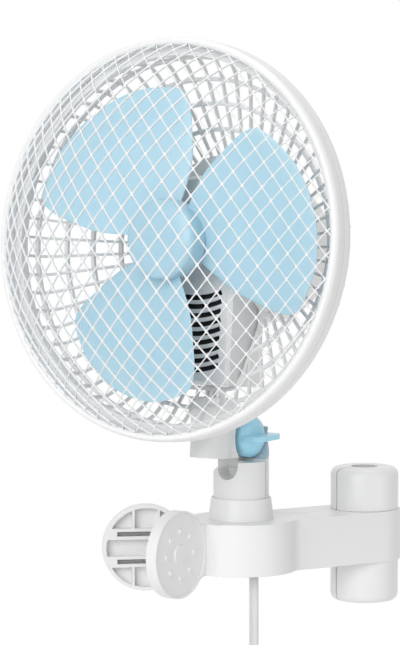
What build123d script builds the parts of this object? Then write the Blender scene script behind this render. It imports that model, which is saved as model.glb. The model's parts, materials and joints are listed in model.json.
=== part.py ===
from build123d import *
from math import atan2, ceil, cos, degrees, floor, hypot, pi, radians, sin, sqrt, tan
import os

os.makedirs("parts", exist_ok=True)

# Clip fan for a 16 mm pole. Millimetres, +Z up. The origin is the centre of the pole clamp,
# the pole stands along Z, and the clip lies along X with the neck at -X.

# ---------------------------------------------------------------- driving dimensions: clip
pole_diameter = 16.0
arm_reach = 87.0            # pole axis to neck axis
clip_height = 30.0          # hub and both arms
arm_half = 21.5             # parting plane to the outer face of an arm
hub_radius = 32.0
clip_wall = 2.6
plate_thickness = 3.4       # top and bottom plates of the hub
parting_gap = 0.5           # between the two halves of the clip
fit_gap = 0.3               # between moving plastic faces
bore_clearance = 0.1        # radial, round pins in plastic
seat_gap = 0.05             # between pieces that are fastened together
edge_flats = 3              # flats that make up one rounded edge of a turned piece

pad_radius = 20.2
pad_height = 80.0
pad_round = 4.5
pad_gap = 1.1               # between the two pads on the pole
band_wall = 3.0
screw_spread = 8.0          # height of the pad screws from the middle
head_seat = 10.5            # depth of their heads from the middle of the pole
screw_bite = 2.3            # of their points into the jaw band
screw_head_height = 1.4

handle_flare = 23.7         # each handle from the line of the arm, degrees
handle_reach = 56.7         # hub axis to the centre of a handle disc
handle_radius = 25.0
handle_inner = 9.35         # inner rim plane, inwards from the hub's radial plane
handle_outer = 2.35         # outer face, the same way
handle_wall = 2.2
handle_rim = 0.8            # height of the raised rim on the outer face
handle_floor = 1.6
web_inner = 6.5             # inner face of the web that carries a handle, like handle_inner
web_round = 9.0
rim_width = 1.4
bump_circle = 13.3
bump_radius = 1.9
bump_count = 8
boss_radius = 6.2
bar_height = 6.6            # the two bars that carry the spring legs
bar_spread = 8.0            # height of each bar from the middle
rib_spread = 7.3            # vertical ribs from the centre of the disc
rib_thickness = 1.6

arm_round = 9.0             # where an arm runs into the hub
arm_pockets = 3
window_edge = 5.0           # half the opening in the hub wall between the handles
pin_radius = 4.0
pin_cap = 1.5               # plastic left above the pivot pin
knuckle_radius = 12.0
knuckle_thickness = 2.0
spring_wire = 1.8
spring_mean_radius = 6.5
spring_turns = 2            # whole turns of each coil, besides the half turn and the part turn
wire_sides = 6
spring_bridge = 1.9         # height of the bridge legs from the middle
leg_reach = 73.0

# ---------------------------------------------------------------- driving dimensions: neck
head_turn = -64.6           # where the fan looks at rest, degrees about Z from -Y
head_tilt = 5.3             # nose up at rest, degrees
collar_bottom_radius = 19.0
collar_top_radius = 17.5
collar_height = 12.4
neck_radius = 16.2
neck_flange_radius = 17.2
neck_flange_height = 2.4
tilt_height = 63.0          # tilt axis above the middle of the arm
ear_radius = 13.6
ear_left = -6.8             # faces of the ear along the tilt axis
ear_right = 0.4
tongue_width = 7.9
notch_half = 6.7
notch_bottom = 38.8
notch_depth = 4.0           # front of the ear's foot ahead of the neck axis
scoop_radius = 22.7         # room for the underside of the bracket as the head tilts down
knob_shelf = 14.0           # top of the front shell below the tilt axis
neck_split = 1.0            # seam behind the neck axis
neck_wall = 2.6
cavity_height = 12.0
ear_foot = 18.0             # depth of the ear's foot below the tilt axis
screw_aside = 8.5           # neck screws from the middle
screw_level = 36.0
screw_seat = 7.0            # their heads behind the seam
neck_screw_bite = 9.0
tongue_radius = 13.3
ear_sweep = 2.2             # room round the ear in the bracket, for the foot of the ear
arm_right = 6.2             # free end of the bracket arm along the tilt axis
rear_wall_rise = 5.0        # of the rear shell above the tilt axis
seam_gap = 0.3
screw_radius = 1.5
screw_head_radius = 2.8
bolt_radius = 2.5
bolt_head_radius = 4.6
bolt_head_height = 3.2
washer_thickness = 0.8
knob_radius = 12.5
knob_side = 6.0
knob_dome = 4.6
knob_roof = 1.0             # plastic left beyond the insert
knob_turn = 6.0             # the wing at rest, degrees from level
wing_half = 11.4
wing_rise = 13.5
wing_thickness = 3.4
insert_radius = 4.4
socket_recess = 0.6         # bolt head below the face of the tongue

# ---------------------------------------------------------------- driving dimensions: head
axis_height = 109.0         # motor axis above the tilt axis, square to the motor axis
ring_forward = 91.0         # front plane of the guard ring ahead of the tilt axis
stem_forward = 32.0         # oscillation stem ahead of the tilt axis
boss_radius_outer = 12.2
boss_drop = 12.6            # bottom of the stem socket below the tilt axis
socket_rise = 22.0          # top of the stem socket above the tilt axis
socket_top_radius = 16.0
stem_radius = 5.0
stem_depth = 7.0            # of the stem in its socket, below the tilt axis
anchor_drop = 0.5           # underside of the stem's anchor arm below the crank
anchor_thickness = 2.0
anchor_reach = 13.0         # link anchor behind the stem
link_eye = 3.4
link_pin = 1.6
link_thickness = 1.7

ring_radius = 112.5
ring_width = 6.0
ring_front = 2.0
ring_split = -6.5           # front guard ahead of it, rear guard behind it
ring_back = -13.5
guard_depth = 34.0          # of the front dome
guard_thickness = 1.7
strand_width = 1.7
cell_width = 17.4
cell_height = 22.6
net_margin = 4.0            # no cell is centred nearer than this to the ring
ring_screw_radius = 1.2
ring_screw_bite = 5.0
ring_screw_lip = 1.0        # of its head round the shank
rear_ribs = 60              # an even number
rib_width = 1.5
rib_depth = 2.6
rear_bend_inset = 3.5       # from the ring's inside to where the ribs turn to the back
rear_bend_depth = -30.0
rear_depth = -62.0
rear_plate_radius = 52.0
rear_middle_radius = 80.0
plate_front = -61.0         # centre plate of the rear guard
plate_depth = 3.0

blade_clearance = 14.5      # blade tips to the inside of the ring
blade_count = 3
blade_phase = 10.0
blade_thickness = 1.6
blade_level = -9.5          # middle of the blades behind the ring plane
blade_half_angle = 37.0
blade_root = 15.0
blade_root_half = 15.0
blade_belly = 7.0           # outward bulge of the side edges
blade_tip_round = 24.0
blade_chord = 130.0
blade_stations = ((14.0, 17.0), (55.0, 12.5), (100.0, 9.5))   # distance from the axis, pitch in degrees
hub_boss = 5.5
press_clearance = 0.03
cap_radius = 22.4
cap_back = -9.0
cap_side_top = 4.0
cap_front = 7.0
cap_round = 2.2
hub_ribs = 6
hub_rib_width = 1.2
cap_wall = 1.8
shaft_radius = 3.0

cover_front = -33.0         # front face of the motor cover
cover_split = -64.0
cover_room = 12.5           # from the worm gear's axis to the back of the cover
cover_edge = 2.0
chin_step = 4.0             # the chin runs this much further back than the round cover
shaft_hole = 6.0
post_circle = 28.0
post_radius = 2.6
bracket_front = -57.0
tab_circle = 46.5
tab_radius = 4.5
tab_height = 5.0
guide_rises = (20.0, 34.0)  # stem guides above the bottom of the chin
guide_half = 6.4
flange_radius = 51.0
rear_round = 12.0
window_half = 14.0          # opening for the anchor arm of the stem
rear_vents = 18
rear_vent_circle = 22.0
rear_vent_length = 9.0
rear_vent_width = 2.6
switch_height = 24.0
switch_radius = 8.0
switch_stem = 2.0
gear_aside = -9.5           # worm gear from the motor shaft
gear_behind = 107.5         # and behind the ring plane
knob_stem = 2.4
worm_radius = 2.8
worm_ahead = 6.5            # front end of the worm ahead of its gear
worm_behind = 5.5
worm_grooves = 5
worm_depth = 0.7
worm_gear_radius = 6.4
worm_gear_half = 2.0
spindle_radius = 1.5
spindle_rise = 7.6          # top of the worm gear's spindle above the motor axis
worm_gear_teeth = 20
worm_tooth = 0.8            # depth of its teeth
pinion_radius = 2.6
pinion_teeth = 8
crank_teeth = 36
crank_tooth = 0.6           # depth of the teeth of crank and pinion
crank_ahead = 11.5          # crank axis ahead of the worm gear's
crank_low = -35.5           # underside of the crank below the motor axis
crank_thickness = 2.0
crank_radius = 12.0
crank_throw = 8.0
crank_pin = 0.5
crank_pivot = 1.8
top_shelf = 6.3
shelf_thickness = 1.7
case_left = -14.0
case_right = 9.0
case_ahead = 8.4            # front wall of the gearbox ahead of the worm gear's axis
case_beyond = 5.5           # and its back wall behind it
pull_base = 44.0
pull_radius = 6.5
pull_height = 11.0
pull_waist = 1.0            # depth of the groove round it
pull_round = 1.6
switch_depth = 6.0
dial_radius = 10.0
dial_skirt = 2.5
dial_grip = 6.0
dial_lip = 1.5              # of the skirt round the grip
dial_bar = 3.2              # thickness of the grip
cover_radius = 38.0
cover_wall = 2.2
chin_half = 25.5
chin_gap = 7.0              # under the chin, down to the stem socket
chin_round = 9.0
rear_radius = 43.0
vent_margin = 6.0           # least plain wall below the lowest vent
vent_width = 2.8
vent_pitch = 5.1
vent_first = 31.0
vent_arc = 50.0             # radius of the vent arcs
vent_sweep = 22.0           # half of each arc, degrees
stator_radius = 31.0
stator_length = 24.0
stator_front = -66.0
rotor_radius = 14.5
air_gap = 0.5
stator_yoke = 4.5
pole_width = 10.0
pole_shoe = 2.5
pole_slot = 3.0
winding_overhang = 5.0
winding_side = 3.0
bracket_plate = 2.0
bracket_hole_circle = 20.0
bracket_hole = 4.0
bearing_boss = 6.0
boss_height = 1.5
bush_radius = 4.4
shaft_clearance = 0.05
shaft_front = 3.0
shaft_flat = 2.2            # flat for the propeller, from the middle of the shaft
shaft_grip = 10.0
end_ring = 1.5

# ---------------------------------------------------------------- driving dimensions: cord
exit_aside = -2.5           # cord exit from the hub axis
exit_forward = -17.8
relief_width = 9.0
relief_thickness = 6.0
relief_height = 14.0
cord_width = 5.4
cord_thickness = 2.9
coil_gap = 0.6              # between turns and between layers
coil_outer_radius = 36.3
layer_half_turns = 7        # half turns on the first of the two layers
plug_lead = 20.0            # straight cord from the coil to the plug
relief_lip = 1.0
bend_share = 0.45           # of the shorter run beside a bend, used up by the bend
tie_height = 5.0
tie_wall = 0.9
plug_width = 25.0
plug_thickness = 13.0
plug_sleeve = 2.0           # tail of the plug over the cord, both sides together
plug_corner = 0.24          # corners cut off the plug, of its thickness
plug_tail_length = 9.0
plug_body = 15.0
pin_spacing = 12.7
blade_pin_thickness = 1.5
blade_pin_width = 6.3
blade_pin_length = 17.0
pin_root = 6.0

# ---------------------------------------------------------------- planes
hub_x = -arm_reach
half_height = clip_height / 2
plate_inner = half_height - plate_thickness
ring_inner = ring_radius - ring_width
rear_bend_radius = ring_inner - rear_bend_inset
blade_radius = ring_inner - blade_clearance
chin_bottom = -(axis_height - socket_rise - chin_gap)
guide_levels = tuple(chin_bottom + rise for rise in guide_rises)      # from the motor axis
vent_count = floor((-chin_bottom - vent_first - vent_margin) / vent_pitch) + 1
cover_back = -(gear_behind + cover_room)
crank_behind = gear_behind - crank_ahead
case_front = gear_behind - case_ahead
case_behind = gear_behind + case_beyond
worm_front = -(gear_behind - worm_ahead)
worm_back = -(gear_behind + worm_behind)
anchor_level = axis_height + crank_low - anchor_drop     # above the tilt axis, as is the top of the stem
stem_top = anchor_level + anchor_thickness
turn = radians(head_turn)
tilt = radians(head_tilt)
side = Vector(cos(turn), sin(turn), 0)
ahead = Vector(sin(turn), -cos(turn), 0)
nose = ahead * cos(tilt) + Vector(0, 0, sin(tilt))
upright = nose.cross(side)
hub_centre = Vector(hub_x, 0, 0)
tilt_centre = Vector(hub_x, 0, tilt_height)
motor_centre = tilt_centre + upright * axis_height + nose * ring_forward
stem_centre = tilt_centre + nose * stem_forward

HUB = Plane(hub_centre)
view_turn = radians(-31.3)  # the flat face of the cord looks this way, from -Y
cord_side = Vector(cos(view_turn), sin(view_turn), 0)
exit_centre = Vector(hub_x + exit_aside, exit_forward, -half_height)
EXIT = Plane(exit_centre, x_dir=cord_side, z_dir=(0, 0, 1))
NECK = Plane(hub_centre, x_dir=side, z_dir=(0, 0, 1))            # x to the side, y to the rear
NECK_SIDE = Plane(tilt_centre, x_dir=ahead, z_dir=-side)         # x ahead, y up, z to -side
TILT_SIDE = Plane(tilt_centre, x_dir=nose, z_dir=-side)          # the same, turned with the head
STEM = Plane(stem_centre, x_dir=side, z_dir=upright)             # x to the side, z up the stem
STEM_CUT = Plane(stem_centre, x_dir=side, z_dir=nose)            # x to the side, y up the stem
NECK_FRONT = Plane(hub_centre + ahead * (neck_radius + 1), x_dir=side, z_dir=ahead)   # x to the side, y up
SEAM = NECK_FRONT.offset(-neck_radius - 1 - neck_split)          # between the shells of the neck
anchor_behind = ring_forward - stem_forward + anchor_reach     # link anchor behind the ring plane
TILT_CUT = Plane(tilt_centre, x_dir=side, z_dir=side.cross(upright))     # x along the tilt axis, y up
wing_up = upright * cos(radians(knob_turn)) + nose * sin(radians(knob_turn))
WING = Plane(tilt_centre, x_dir=side.cross(wing_up), z_dir=wing_up)      # x ahead, y along the tilt axis
MOTOR = Plane(motor_centre, x_dir=side, z_dir=nose)              # x to the side, y up, z ahead
MOTOR_CUT = Plane(motor_centre, x_dir=side, z_dir=side.cross(nose))   # x to the side, y ahead
GEAR = Plane(motor_centre, x_dir=side, z_dir=upright)            # x to the side, y behind, z up
pull_centre = motor_centre + side * gear_aside - nose * gear_behind
PULL = Plane(pull_centre, x_dir=side, z_dir=nose)                # x to the side, y up
motor_axis = Axis(motor_centre, nose)
stem_axis = Axis(stem_centre, upright)
tilt_axis = Axis(tilt_centre, side)


def save(builder, label):
    """Write one finished piece."""
    builder.part.label = label
    export_step(builder.part, "parts/" + label + ".step")


def ease(x, y, radius, start, stop):
    """Corner of a revolved profile: flats along an arc about (x, y), angles in degrees."""
    steps = [start + (stop - start) * k / edge_flats for k in range(edge_flats + 1)]
    return [(x + radius * cos(radians(angle)), y + radius * sin(radians(angle))) for angle in steps]


def revolved(plane, outline, axis, mode=Mode.ADD):
    """Turn a closed outline about an axis."""
    with BuildSketch(plane) as profile:
        with BuildLine():
            Polyline(*outline, close=True)
        make_face()
    revolve(profile.sketch, axis=axis, mode=mode)


def four_on(plane, circle, radius):
    """Four circles on a circle about the motor axis, at the corners."""
    with BuildSketch(plane) as spots:
        with PolarLocations(circle, 4, start_angle=45):
            Circle(radius)
    return spots.sketch


# ---------------------------------------------------------------- sketch helpers
def circle_on(plane, x, y, radius):
    """One circle as a sketch."""
    with BuildSketch(plane) as outline:
        with Locations((x, y)):
            Circle(radius)
    return outline.sketch


def block_on(plane, left, right, low, high):
    """One rectangle as a sketch, by its edges."""
    with BuildSketch(plane) as outline:
        with Locations(((left + right) / 2, (low + high) / 2)):
            Rectangle(right - left, high - low)
    return outline.sketch


def ring_on(plane, outer, inner):
    """One ring as a sketch."""
    with BuildSketch(plane) as outline:
        Circle(outer)
        Circle(inner, mode=Mode.SUBTRACT)
    return outline.sketch


# ---------------------------------------------------------------- clip halves
def handle_plane(way):
    """Radial plane of one handle: x out along it, z outwards. way is -1 in front, 1 behind."""
    flare = radians(handle_flare)
    out = Vector(-cos(flare), way * sin(flare), 0)
    outward = Vector(sin(flare), way * cos(flare), 0)
    return Plane(hub_centre, x_dir=out, z_dir=outward)


def web_outline(plane):
    """The web from the hub wall into a handle disc, with rounded corners at the disc."""
    with BuildSketch(plane) as outline:
        with Locations((handle_reach, 0)):
            Circle(handle_radius)
        with Locations(((handle_reach + hub_inner) / 2, 0)):
            Rectangle(handle_reach - hub_inner, clip_height)
        found = outline.vertices()
        at_disc = [v for v in found if hub_inner + 0.1 < plane.to_local_coords(v).X < handle_reach]
        fillet(at_disc, web_round)
        with Locations((handle_reach, 0)):
            Circle(handle_radius - handle_wall, mode=Mode.SUBTRACT)
    return outline.sketch


def add_half(way):
    """Hub disc and arm of one clip half, still solid."""
    near = way * parting_gap / 2
    far = way * arm_half
    extrude(circle_on(HUB, 0, 0, hub_radius), amount=half_height, both=True)
    extrude(block_on(Plane.XY, hub_x, 0, min(near, far), max(near, far)), amount=half_height, both=True)


def add_band(way):
    """Jaw band of one clip half, and the seat for its pad."""
    with BuildSketch(Plane.XY) as band:
        Circle(arm_half)
        with Locations((0, way * (parting_gap / 2 - arm_half))):
            Rectangle(3 * arm_half, 2 * arm_half, mode=Mode.SUBTRACT)
    extrude(band.sketch, amount=half_height, both=True)
    extrude(circle_on(Plane.XY, 0, 0, seat_radius), amount=half_height, both=True, mode=Mode.SUBTRACT)
    for level in (-screw_spread, screw_spread):
        across = Plane(origin=(0, 0, level), x_dir=(1, 0, 0), z_dir=(0, way, 0))
        pilot = circle_on(across, 0, 0, screw_radius + seat_gap)
        extrude(pilot, amount=seat_radius + screw_bite + seat_gap, mode=Mode.SUBTRACT)


def cut_arm(way):
    """Moulded pockets between ribs, open towards the other half."""
    start = hub_x + hub_radius + clip_wall
    pitch = (-arm_half - start) / arm_pockets
    for k in range(arm_pockets):
        left = start + pitch * k + rib_thickness / 2
        depth = sorted((0, way * (arm_half - clip_wall)))
        pocket = block_on(Plane.XY, left, left + pitch - rib_thickness, depth[0], depth[1])
        extrude(pocket, amount=half_height - clip_wall, both=True, mode=Mode.SUBTRACT)


def add_handle(way):
    """Handle disc and the thinner web that carries it."""
    plane = handle_plane(way)
    disc = circle_on(plane.offset(-handle_inner), handle_reach, 0, handle_radius)
    extrude(disc, amount=handle_inner - handle_outer)
    extrude(web_outline(plane.offset(-web_inner)), amount=web_inner - handle_outer)


def cut_handle(way, slot_levels, height):
    """Dished inside with bars, ribs and spring slots, and the raised rim and bumps outside."""
    plane = handle_plane(way)
    floor = plane.offset(-handle_outer - handle_rim - handle_floor)
    with BuildSketch(floor) as cavity:
        with Locations((handle_reach, 0)):
            Circle(handle_radius - handle_wall)
        for level in (-bar_spread, bar_spread):
            with Locations((handle_reach, level)):
                Rectangle(2 * handle_radius, bar_height, mode=Mode.SUBTRACT)
            for shift in (-rib_spread, rib_spread):
                with Locations((handle_reach + shift, 2 * level)):
                    Rectangle(rib_thickness, 2 * bar_spread, mode=Mode.SUBTRACT)
    extrude(cavity.sketch, amount=-handle_inner, mode=Mode.SUBTRACT)
    slot_floor = plane.offset(leg_clearance - spring_mean_radius)
    for level in slot_levels:
        low, high = level - height / 2, level + height / 2
        slot = block_on(slot_floor, hub_inner - 1, leg_reach + fit_gap, low, high)
        extrude(slot, amount=-handle_inner, mode=Mode.SUBTRACT)
    outside = plane.offset(-handle_outer)
    inside_rim = circle_on(outside, handle_reach, 0, handle_radius - rim_width)
    extrude(inside_rim, amount=-handle_rim, mode=Mode.SUBTRACT)
    face = plane.offset(-handle_outer - handle_rim)
    with BuildSketch(face) as bumps:
        with Locations((handle_reach, 0)):
            Circle(boss_radius)
            with PolarLocations(bump_circle, bump_count):
                Circle(bump_radius)
    extrude(bumps.sketch, amount=handle_rim, taper=30)


hub_inner = hub_radius - clip_wall
seat_radius = arm_half - band_wall
pin_bore = pin_radius + bore_clearance
leg_clearance = spring_wire / 2 + fit_gap
knuckle_outer = plate_inner - fit_gap
slot_height = spring_wire + 2 * fit_gap + 0.2


def blend_edges(builder, way):
    """The upright edge where an arm runs into the hub."""
    on_arm = [e for e in builder.edges().filter_by(Axis.Z) if abs(e.center().Y - way * arm_half) < 0.1]
    return [e for e in on_arm if hub_x < e.center().X < hub_x + hub_radius]


# front half: hub plates, front wall, arm, jaw band and handle
with BuildPart() as front_clip:
    add_half(-1)
    fillet(blend_edges(front_clip, -1), arm_round)
    add_band(-1)
    add_handle(-1)
    extrude(circle_on(HUB, 0, 0, hub_inner), amount=plate_inner, both=True, mode=Mode.SUBTRACT)
    rear_side = block_on(HUB, -hub_radius - 1, hub_radius + 1, -parting_gap / 2, hub_radius + 1)
    extrude(rear_side, amount=plate_inner, both=True, mode=Mode.SUBTRACT)
    window = block_on(HUB, -hub_radius - 1, -hub_inner / 2, -window_edge, hub_radius)
    extrude(window, amount=plate_inner, both=True, mode=Mode.SUBTRACT)
    bore = circle_on(HUB.offset(-half_height), 0, 0, pin_bore)
    extrude(bore, amount=clip_height - pin_cap, mode=Mode.SUBTRACT)
    with BuildSketch(EXIT) as cord_hole:
        SlotOverall(relief_width + 2 * seat_gap, relief_thickness + 2 * seat_gap)
    extrude(cord_hole.sketch, amount=clip_height / 2, mode=Mode.SUBTRACT)
    cut_arm(-1)
    cut_handle(-1, (0,), 2 * spring_bridge + slot_height)
save(front_clip, "front_clip")

# rear half: rear wall, arm, jaw band and handle, with two knuckle plates round the pin
with BuildPart() as back_clip:
    add_half(1)
    fillet(blend_edges(back_clip, 1), arm_round)
    add_band(1)
    add_handle(1)
    for level in (-half_height, knuckle_outer):
        room = circle_on(HUB.offset(level), 0, 0, hub_radius + fit_gap)
        extrude(room, amount=half_height - knuckle_outer, mode=Mode.SUBTRACT)
    extrude(circle_on(HUB, 0, 0, hub_inner), amount=knuckle_outer, both=True, mode=Mode.SUBTRACT)
    front_side = block_on(HUB, -hub_radius - 1, hub_radius + 1, -hub_radius - 1, parting_gap / 2)
    extrude(front_side, amount=half_height, both=True, mode=Mode.SUBTRACT)
    window = block_on(HUB, -hub_radius, -hub_inner / 2, 0, window_edge)
    extrude(window, amount=half_height, both=True, mode=Mode.SUBTRACT)
    for level in (-knuckle_outer, knuckle_outer - knuckle_thickness):
        with BuildSketch(HUB.offset(level)) as knuckle:
            Circle(knuckle_radius)
            with Locations((0, hub_inner / 2)):
                Rectangle(2 * knuckle_radius, hub_inner)
            Circle(pin_bore, mode=Mode.SUBTRACT)
        extrude(knuckle.sketch, amount=knuckle_thickness)
    cut_arm(1)
    cut_handle(1, (-bar_spread, bar_spread), slot_height)
save(back_clip, "back_clip")

# pivot pin, pressed in from below and capped by the top plate
with BuildPart() as clip_pivot_pin:
    extrude(circle_on(HUB.offset(-half_height), 0, 0, pin_radius), amount=clip_height - pin_cap - fit_gap)
    chamfer(clip_pivot_pin.faces().sort_by(Axis.Z)[-1].edges(), 0.6)
save(clip_pivot_pin, "clip_pivot_pin")



# ---------------------------------------------------------------- clip spring
def around(centre, radius, angle, level):
    """A point at an angle about an upright axis, at a level."""
    return centre + Vector(radius * cos(radians(angle)), radius * sin(radians(angle)), level)


# upper half of the wire: half the bridge, front leg, coil of level half turns, rear leg
front_leg = handle_plane(-1)
rear_leg = handle_plane(1)
front_tangent = 90 + handle_flare
half_turn_count = 2 * spring_turns + 1
part_turn = 2 * handle_flare
rise = (bar_spread - spring_bridge) / half_turn_count
with BuildLine() as spring_line:
    bridge_start = front_leg.from_local_coords((leg_reach, 0, -spring_mean_radius))
    bridge_end = front_leg.from_local_coords((leg_reach - spring_bridge, -spring_bridge, -spring_mean_radius))
    bridge_end = Vector(bridge_end.X, bridge_end.Y, spring_bridge)
    diagonal = spring_bridge * sqrt(0.5)
    bridge_reach = leg_reach - spring_bridge + diagonal
    bridge_middle = front_leg.from_local_coords((bridge_reach, 0, -spring_mean_radius))
    bridge_middle = Vector(bridge_middle.X, bridge_middle.Y, diagonal)
    ThreePointArc(bridge_start, bridge_middle, bridge_end)
    coil_start = around(hub_centre, spring_mean_radius, front_tangent, spring_bridge)
    Line(bridge_end, coil_start)
    arc_end = around(hub_centre, spring_mean_radius, front_tangent - part_turn, spring_bridge)
    arc_middle = around(hub_centre, spring_mean_radius, front_tangent - part_turn / 2, spring_bridge)
    ThreePointArc(coil_start, arc_middle, arc_end)
    angle = front_tangent - part_turn
    for k in range(half_turn_count):
        here = around(hub_centre, spring_mean_radius, angle, spring_bridge + rise * k)
        there = around(hub_centre, spring_mean_radius, angle - 180, spring_bridge + rise * (k + 1))
        forward = Vector(sin(radians(angle)), -cos(radians(angle)), 0)
        ThreePointArc(here, (here + there) / 2 + forward * ((there - here).length / 2), there)
        angle -= 180
    leg_end = around(hub_centre, spring_mean_radius, angle, bar_spread)
    Line(leg_end, leg_end + rear_leg.x_dir * leg_reach)
with BuildPart() as clip_spring:
    with BuildSketch(Plane(spring_line.wire() @ 0, z_dir=spring_line.wire() % 0)) as wire_section:
        RegularPolygon(spring_wire / 2, wire_sides)
    sweep(wire_section.sketch, path=spring_line.wire())
    mirror(about=Plane.XY)
save(clip_spring, "clip_spring")


# ---------------------------------------------------------------- jaw pads and their screws
def make_pad(way):
    """Half of the split sleeve that grips the pole."""
    with BuildPart() as pad:
        end = pad_height / 2
        lower = ease(pad_radius - pad_round, pad_round - end, pad_round, -90, 0)
        upper = ease(pad_radius - pad_round, end - pad_round, pad_round, 0, 90)
        revolved(Plane.XZ, [(0, -end), *lower, *upper, (0, end)], Axis.Z)
        groove = circle_on(Plane.XY, 0, 0, pole_diameter / 2)
        extrude(groove, amount=pad_height, both=True, mode=Mode.SUBTRACT)
        with BuildSketch(Plane.XY) as seat:
            Circle(2 * pad_radius)
            Circle(seat_radius - seat_gap, mode=Mode.SUBTRACT)
        extrude(seat.sketch, amount=half_height + seat_gap, both=True, mode=Mode.SUBTRACT)
        away = sorted((way * pad_gap / 2, -way * 2 * pad_radius))
        other = block_on(Plane.XY, -2 * pad_radius, 2 * pad_radius, away[0], away[1])
        extrude(other, amount=pad_height, both=True, mode=Mode.SUBTRACT)
        for level in (-screw_spread, screw_spread):
            across = Plane(origin=(0, 0, level), x_dir=(1, 0, 0), z_dir=(0, way, 0))
            extrude(circle_on(across, 0, 0, screw_radius + seat_gap), amount=pad_radius, mode=Mode.SUBTRACT)
            head_room = circle_on(across, 0, 0, screw_head_radius + fit_gap)
            extrude(head_room, amount=head_seat, mode=Mode.SUBTRACT)
    return pad


def make_pad_screws(way):
    """Two screws from the groove into the jaw band."""
    with BuildPart() as screws:
        for level in (-screw_spread, screw_spread):
            across = Plane(origin=(0, 0, level), x_dir=(1, 0, 0), z_dir=(0, way, 0))
            start = across.offset(head_seat - seat_gap)
            length = seat_radius + screw_bite - head_seat + seat_gap
            extrude(circle_on(start, 0, 0, screw_radius), amount=length)
            extrude(circle_on(start, 0, 0, screw_head_radius), amount=-screw_head_height)
    return screws


save(make_pad(-1), "front_pad")
save(make_pad(1), "back_pad")
save(make_pad_screws(-1), "front_pad_screws")
save(make_pad_screws(1), "back_pad_screws")

# ---------------------------------------------------------------- neck
neck_start = half_height + fit_gap
flange_top = neck_start + neck_flange_height
collar_bore = neck_radius + fit_gap
rear_top = tilt_height + rear_wall_rise
knob_base = ear_right + washer_thickness + 2 * seat_gap + fit_gap
tongue_right = ear_left - fit_gap
tongue_left = tongue_right - tongue_width

# cone that holds the turning neck down on the hub
with BuildPart() as neck_collar:
    collar_base = half_height + seat_gap
    collar_top = collar_base + collar_height
    with BuildSketch(Plane.XZ) as collar_profile:
        with BuildLine():
            Polyline(
                (neck_flange_radius + fit_gap, collar_base),
                (collar_bottom_radius, collar_base),
                (collar_top_radius, collar_top),
                (collar_bore, collar_top),
                (collar_bore, flange_top + fit_gap),
                (neck_flange_radius + fit_gap, flange_top + fit_gap),
                close=True,
            )
        make_face()
    revolve(collar_profile.sketch.moved(Location((hub_x, 0, 0))), axis=Axis((hub_x, 0, 0), (0, 0, 1)))
save(neck_collar, "neck_collar")


def cut_neck_top():
    """Room in the top of the column for the knob, the tongue and the bracket arm."""
    ahead_top = block_on(NECK_SIDE, 0, 2 * neck_radius, -knob_shelf, neck_radius)
    extrude(ahead_top, amount=-2 * neck_radius, mode=Mode.SUBTRACT)
    knob_room = circle_on(NECK_SIDE.offset(-ear_right), 0, 0, knob_radius + fit_gap)
    extrude(knob_room, amount=-2 * neck_radius, mode=Mode.SUBTRACT)
    tongue_room = circle_on(NECK_SIDE.offset(-ear_left), 0, 0, tongue_radius + 2 * fit_gap)
    extrude(tongue_room, amount=2 * neck_radius, mode=Mode.SUBTRACT)
    with BuildSketch(NECK_SIDE.offset(notch_half)) as scoop:
        Circle(scoop_radius)
        with Locations((-scoop_radius, 0)):
            Rectangle(2 * scoop_radius, 2 * scoop_radius, mode=Mode.SUBTRACT)
    extrude(scoop.sketch, amount=2 * neck_radius, mode=Mode.SUBTRACT)
    with BuildSketch(NECK_FRONT) as notch:
        with Locations((0, notch_bottom + notch_half + tilt_height / 2)):
            Rectangle(2 * notch_half, tilt_height)
        with Locations((0, notch_bottom + notch_half)):
            Circle(notch_half)
    extrude(notch.sketch, amount=-(neck_radius + 1 - notch_depth), mode=Mode.SUBTRACT)


def beside_seam(low, high):
    """Everything between two distances behind the neck axis."""
    return block_on(NECK, -2 * neck_radius, 2 * neck_radius, low, high)


def column(low, high):
    """The round column between two heights, with the flange that the collar holds."""
    extrude(circle_on(NECK.offset(low), 0, 0, neck_radius), amount=high - low)
    extrude(circle_on(NECK.offset(low), 0, 0, neck_flange_radius), amount=neck_flange_height)


def ear_shape(clearance):
    """The ear that carries the tilt bolt, grown by a clearance."""
    start = NECK_SIDE.offset(-ear_right - clearance)
    width = ear_right - ear_left + 2 * clearance
    with BuildSketch(start) as ear:
        Circle(ear_radius + clearance)
        with Locations(((notch_depth - ear_radius) / 2, -ear_foot / 2)):
            Rectangle(notch_depth + ear_radius + 2 * clearance, ear_foot + 2 * clearance)
    return ear.sketch, width


# rear shell with the ear
with BuildPart() as neck_rear:
    column(neck_start, rear_top)
    cut_neck_top()
    cavity = circle_on(NECK.offset(neck_start + neck_wall), 0, 0, neck_radius - neck_wall)
    extrude(cavity, amount=cavity_height, mode=Mode.SUBTRACT)
    ahead_half = beside_seam(-2 * neck_radius, neck_split + seam_gap / 2)
    extrude(ahead_half, amount=2 * tilt_height, mode=Mode.SUBTRACT)
    ear_sketch, ear_width = ear_shape(0)
    extrude(ear_sketch, amount=ear_width)
    bolt_hole = circle_on(NECK_SIDE, 0, 0, bolt_radius + bore_clearance)
    extrude(bolt_hole, amount=2 * neck_radius, both=True, mode=Mode.SUBTRACT)
    for aside in (-screw_aside, screw_aside):
        hole = circle_on(NECK_FRONT, aside, screw_level, screw_radius + seat_gap)
        extrude(hole, amount=-3 * neck_radius, mode=Mode.SUBTRACT)
        head_hole = circle_on(SEAM.offset(-screw_seat), aside, screw_level, screw_head_radius + fit_gap)
        extrude(head_hole, amount=-neck_radius, mode=Mode.SUBTRACT)
save(neck_rear, "neck_rear")

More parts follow.
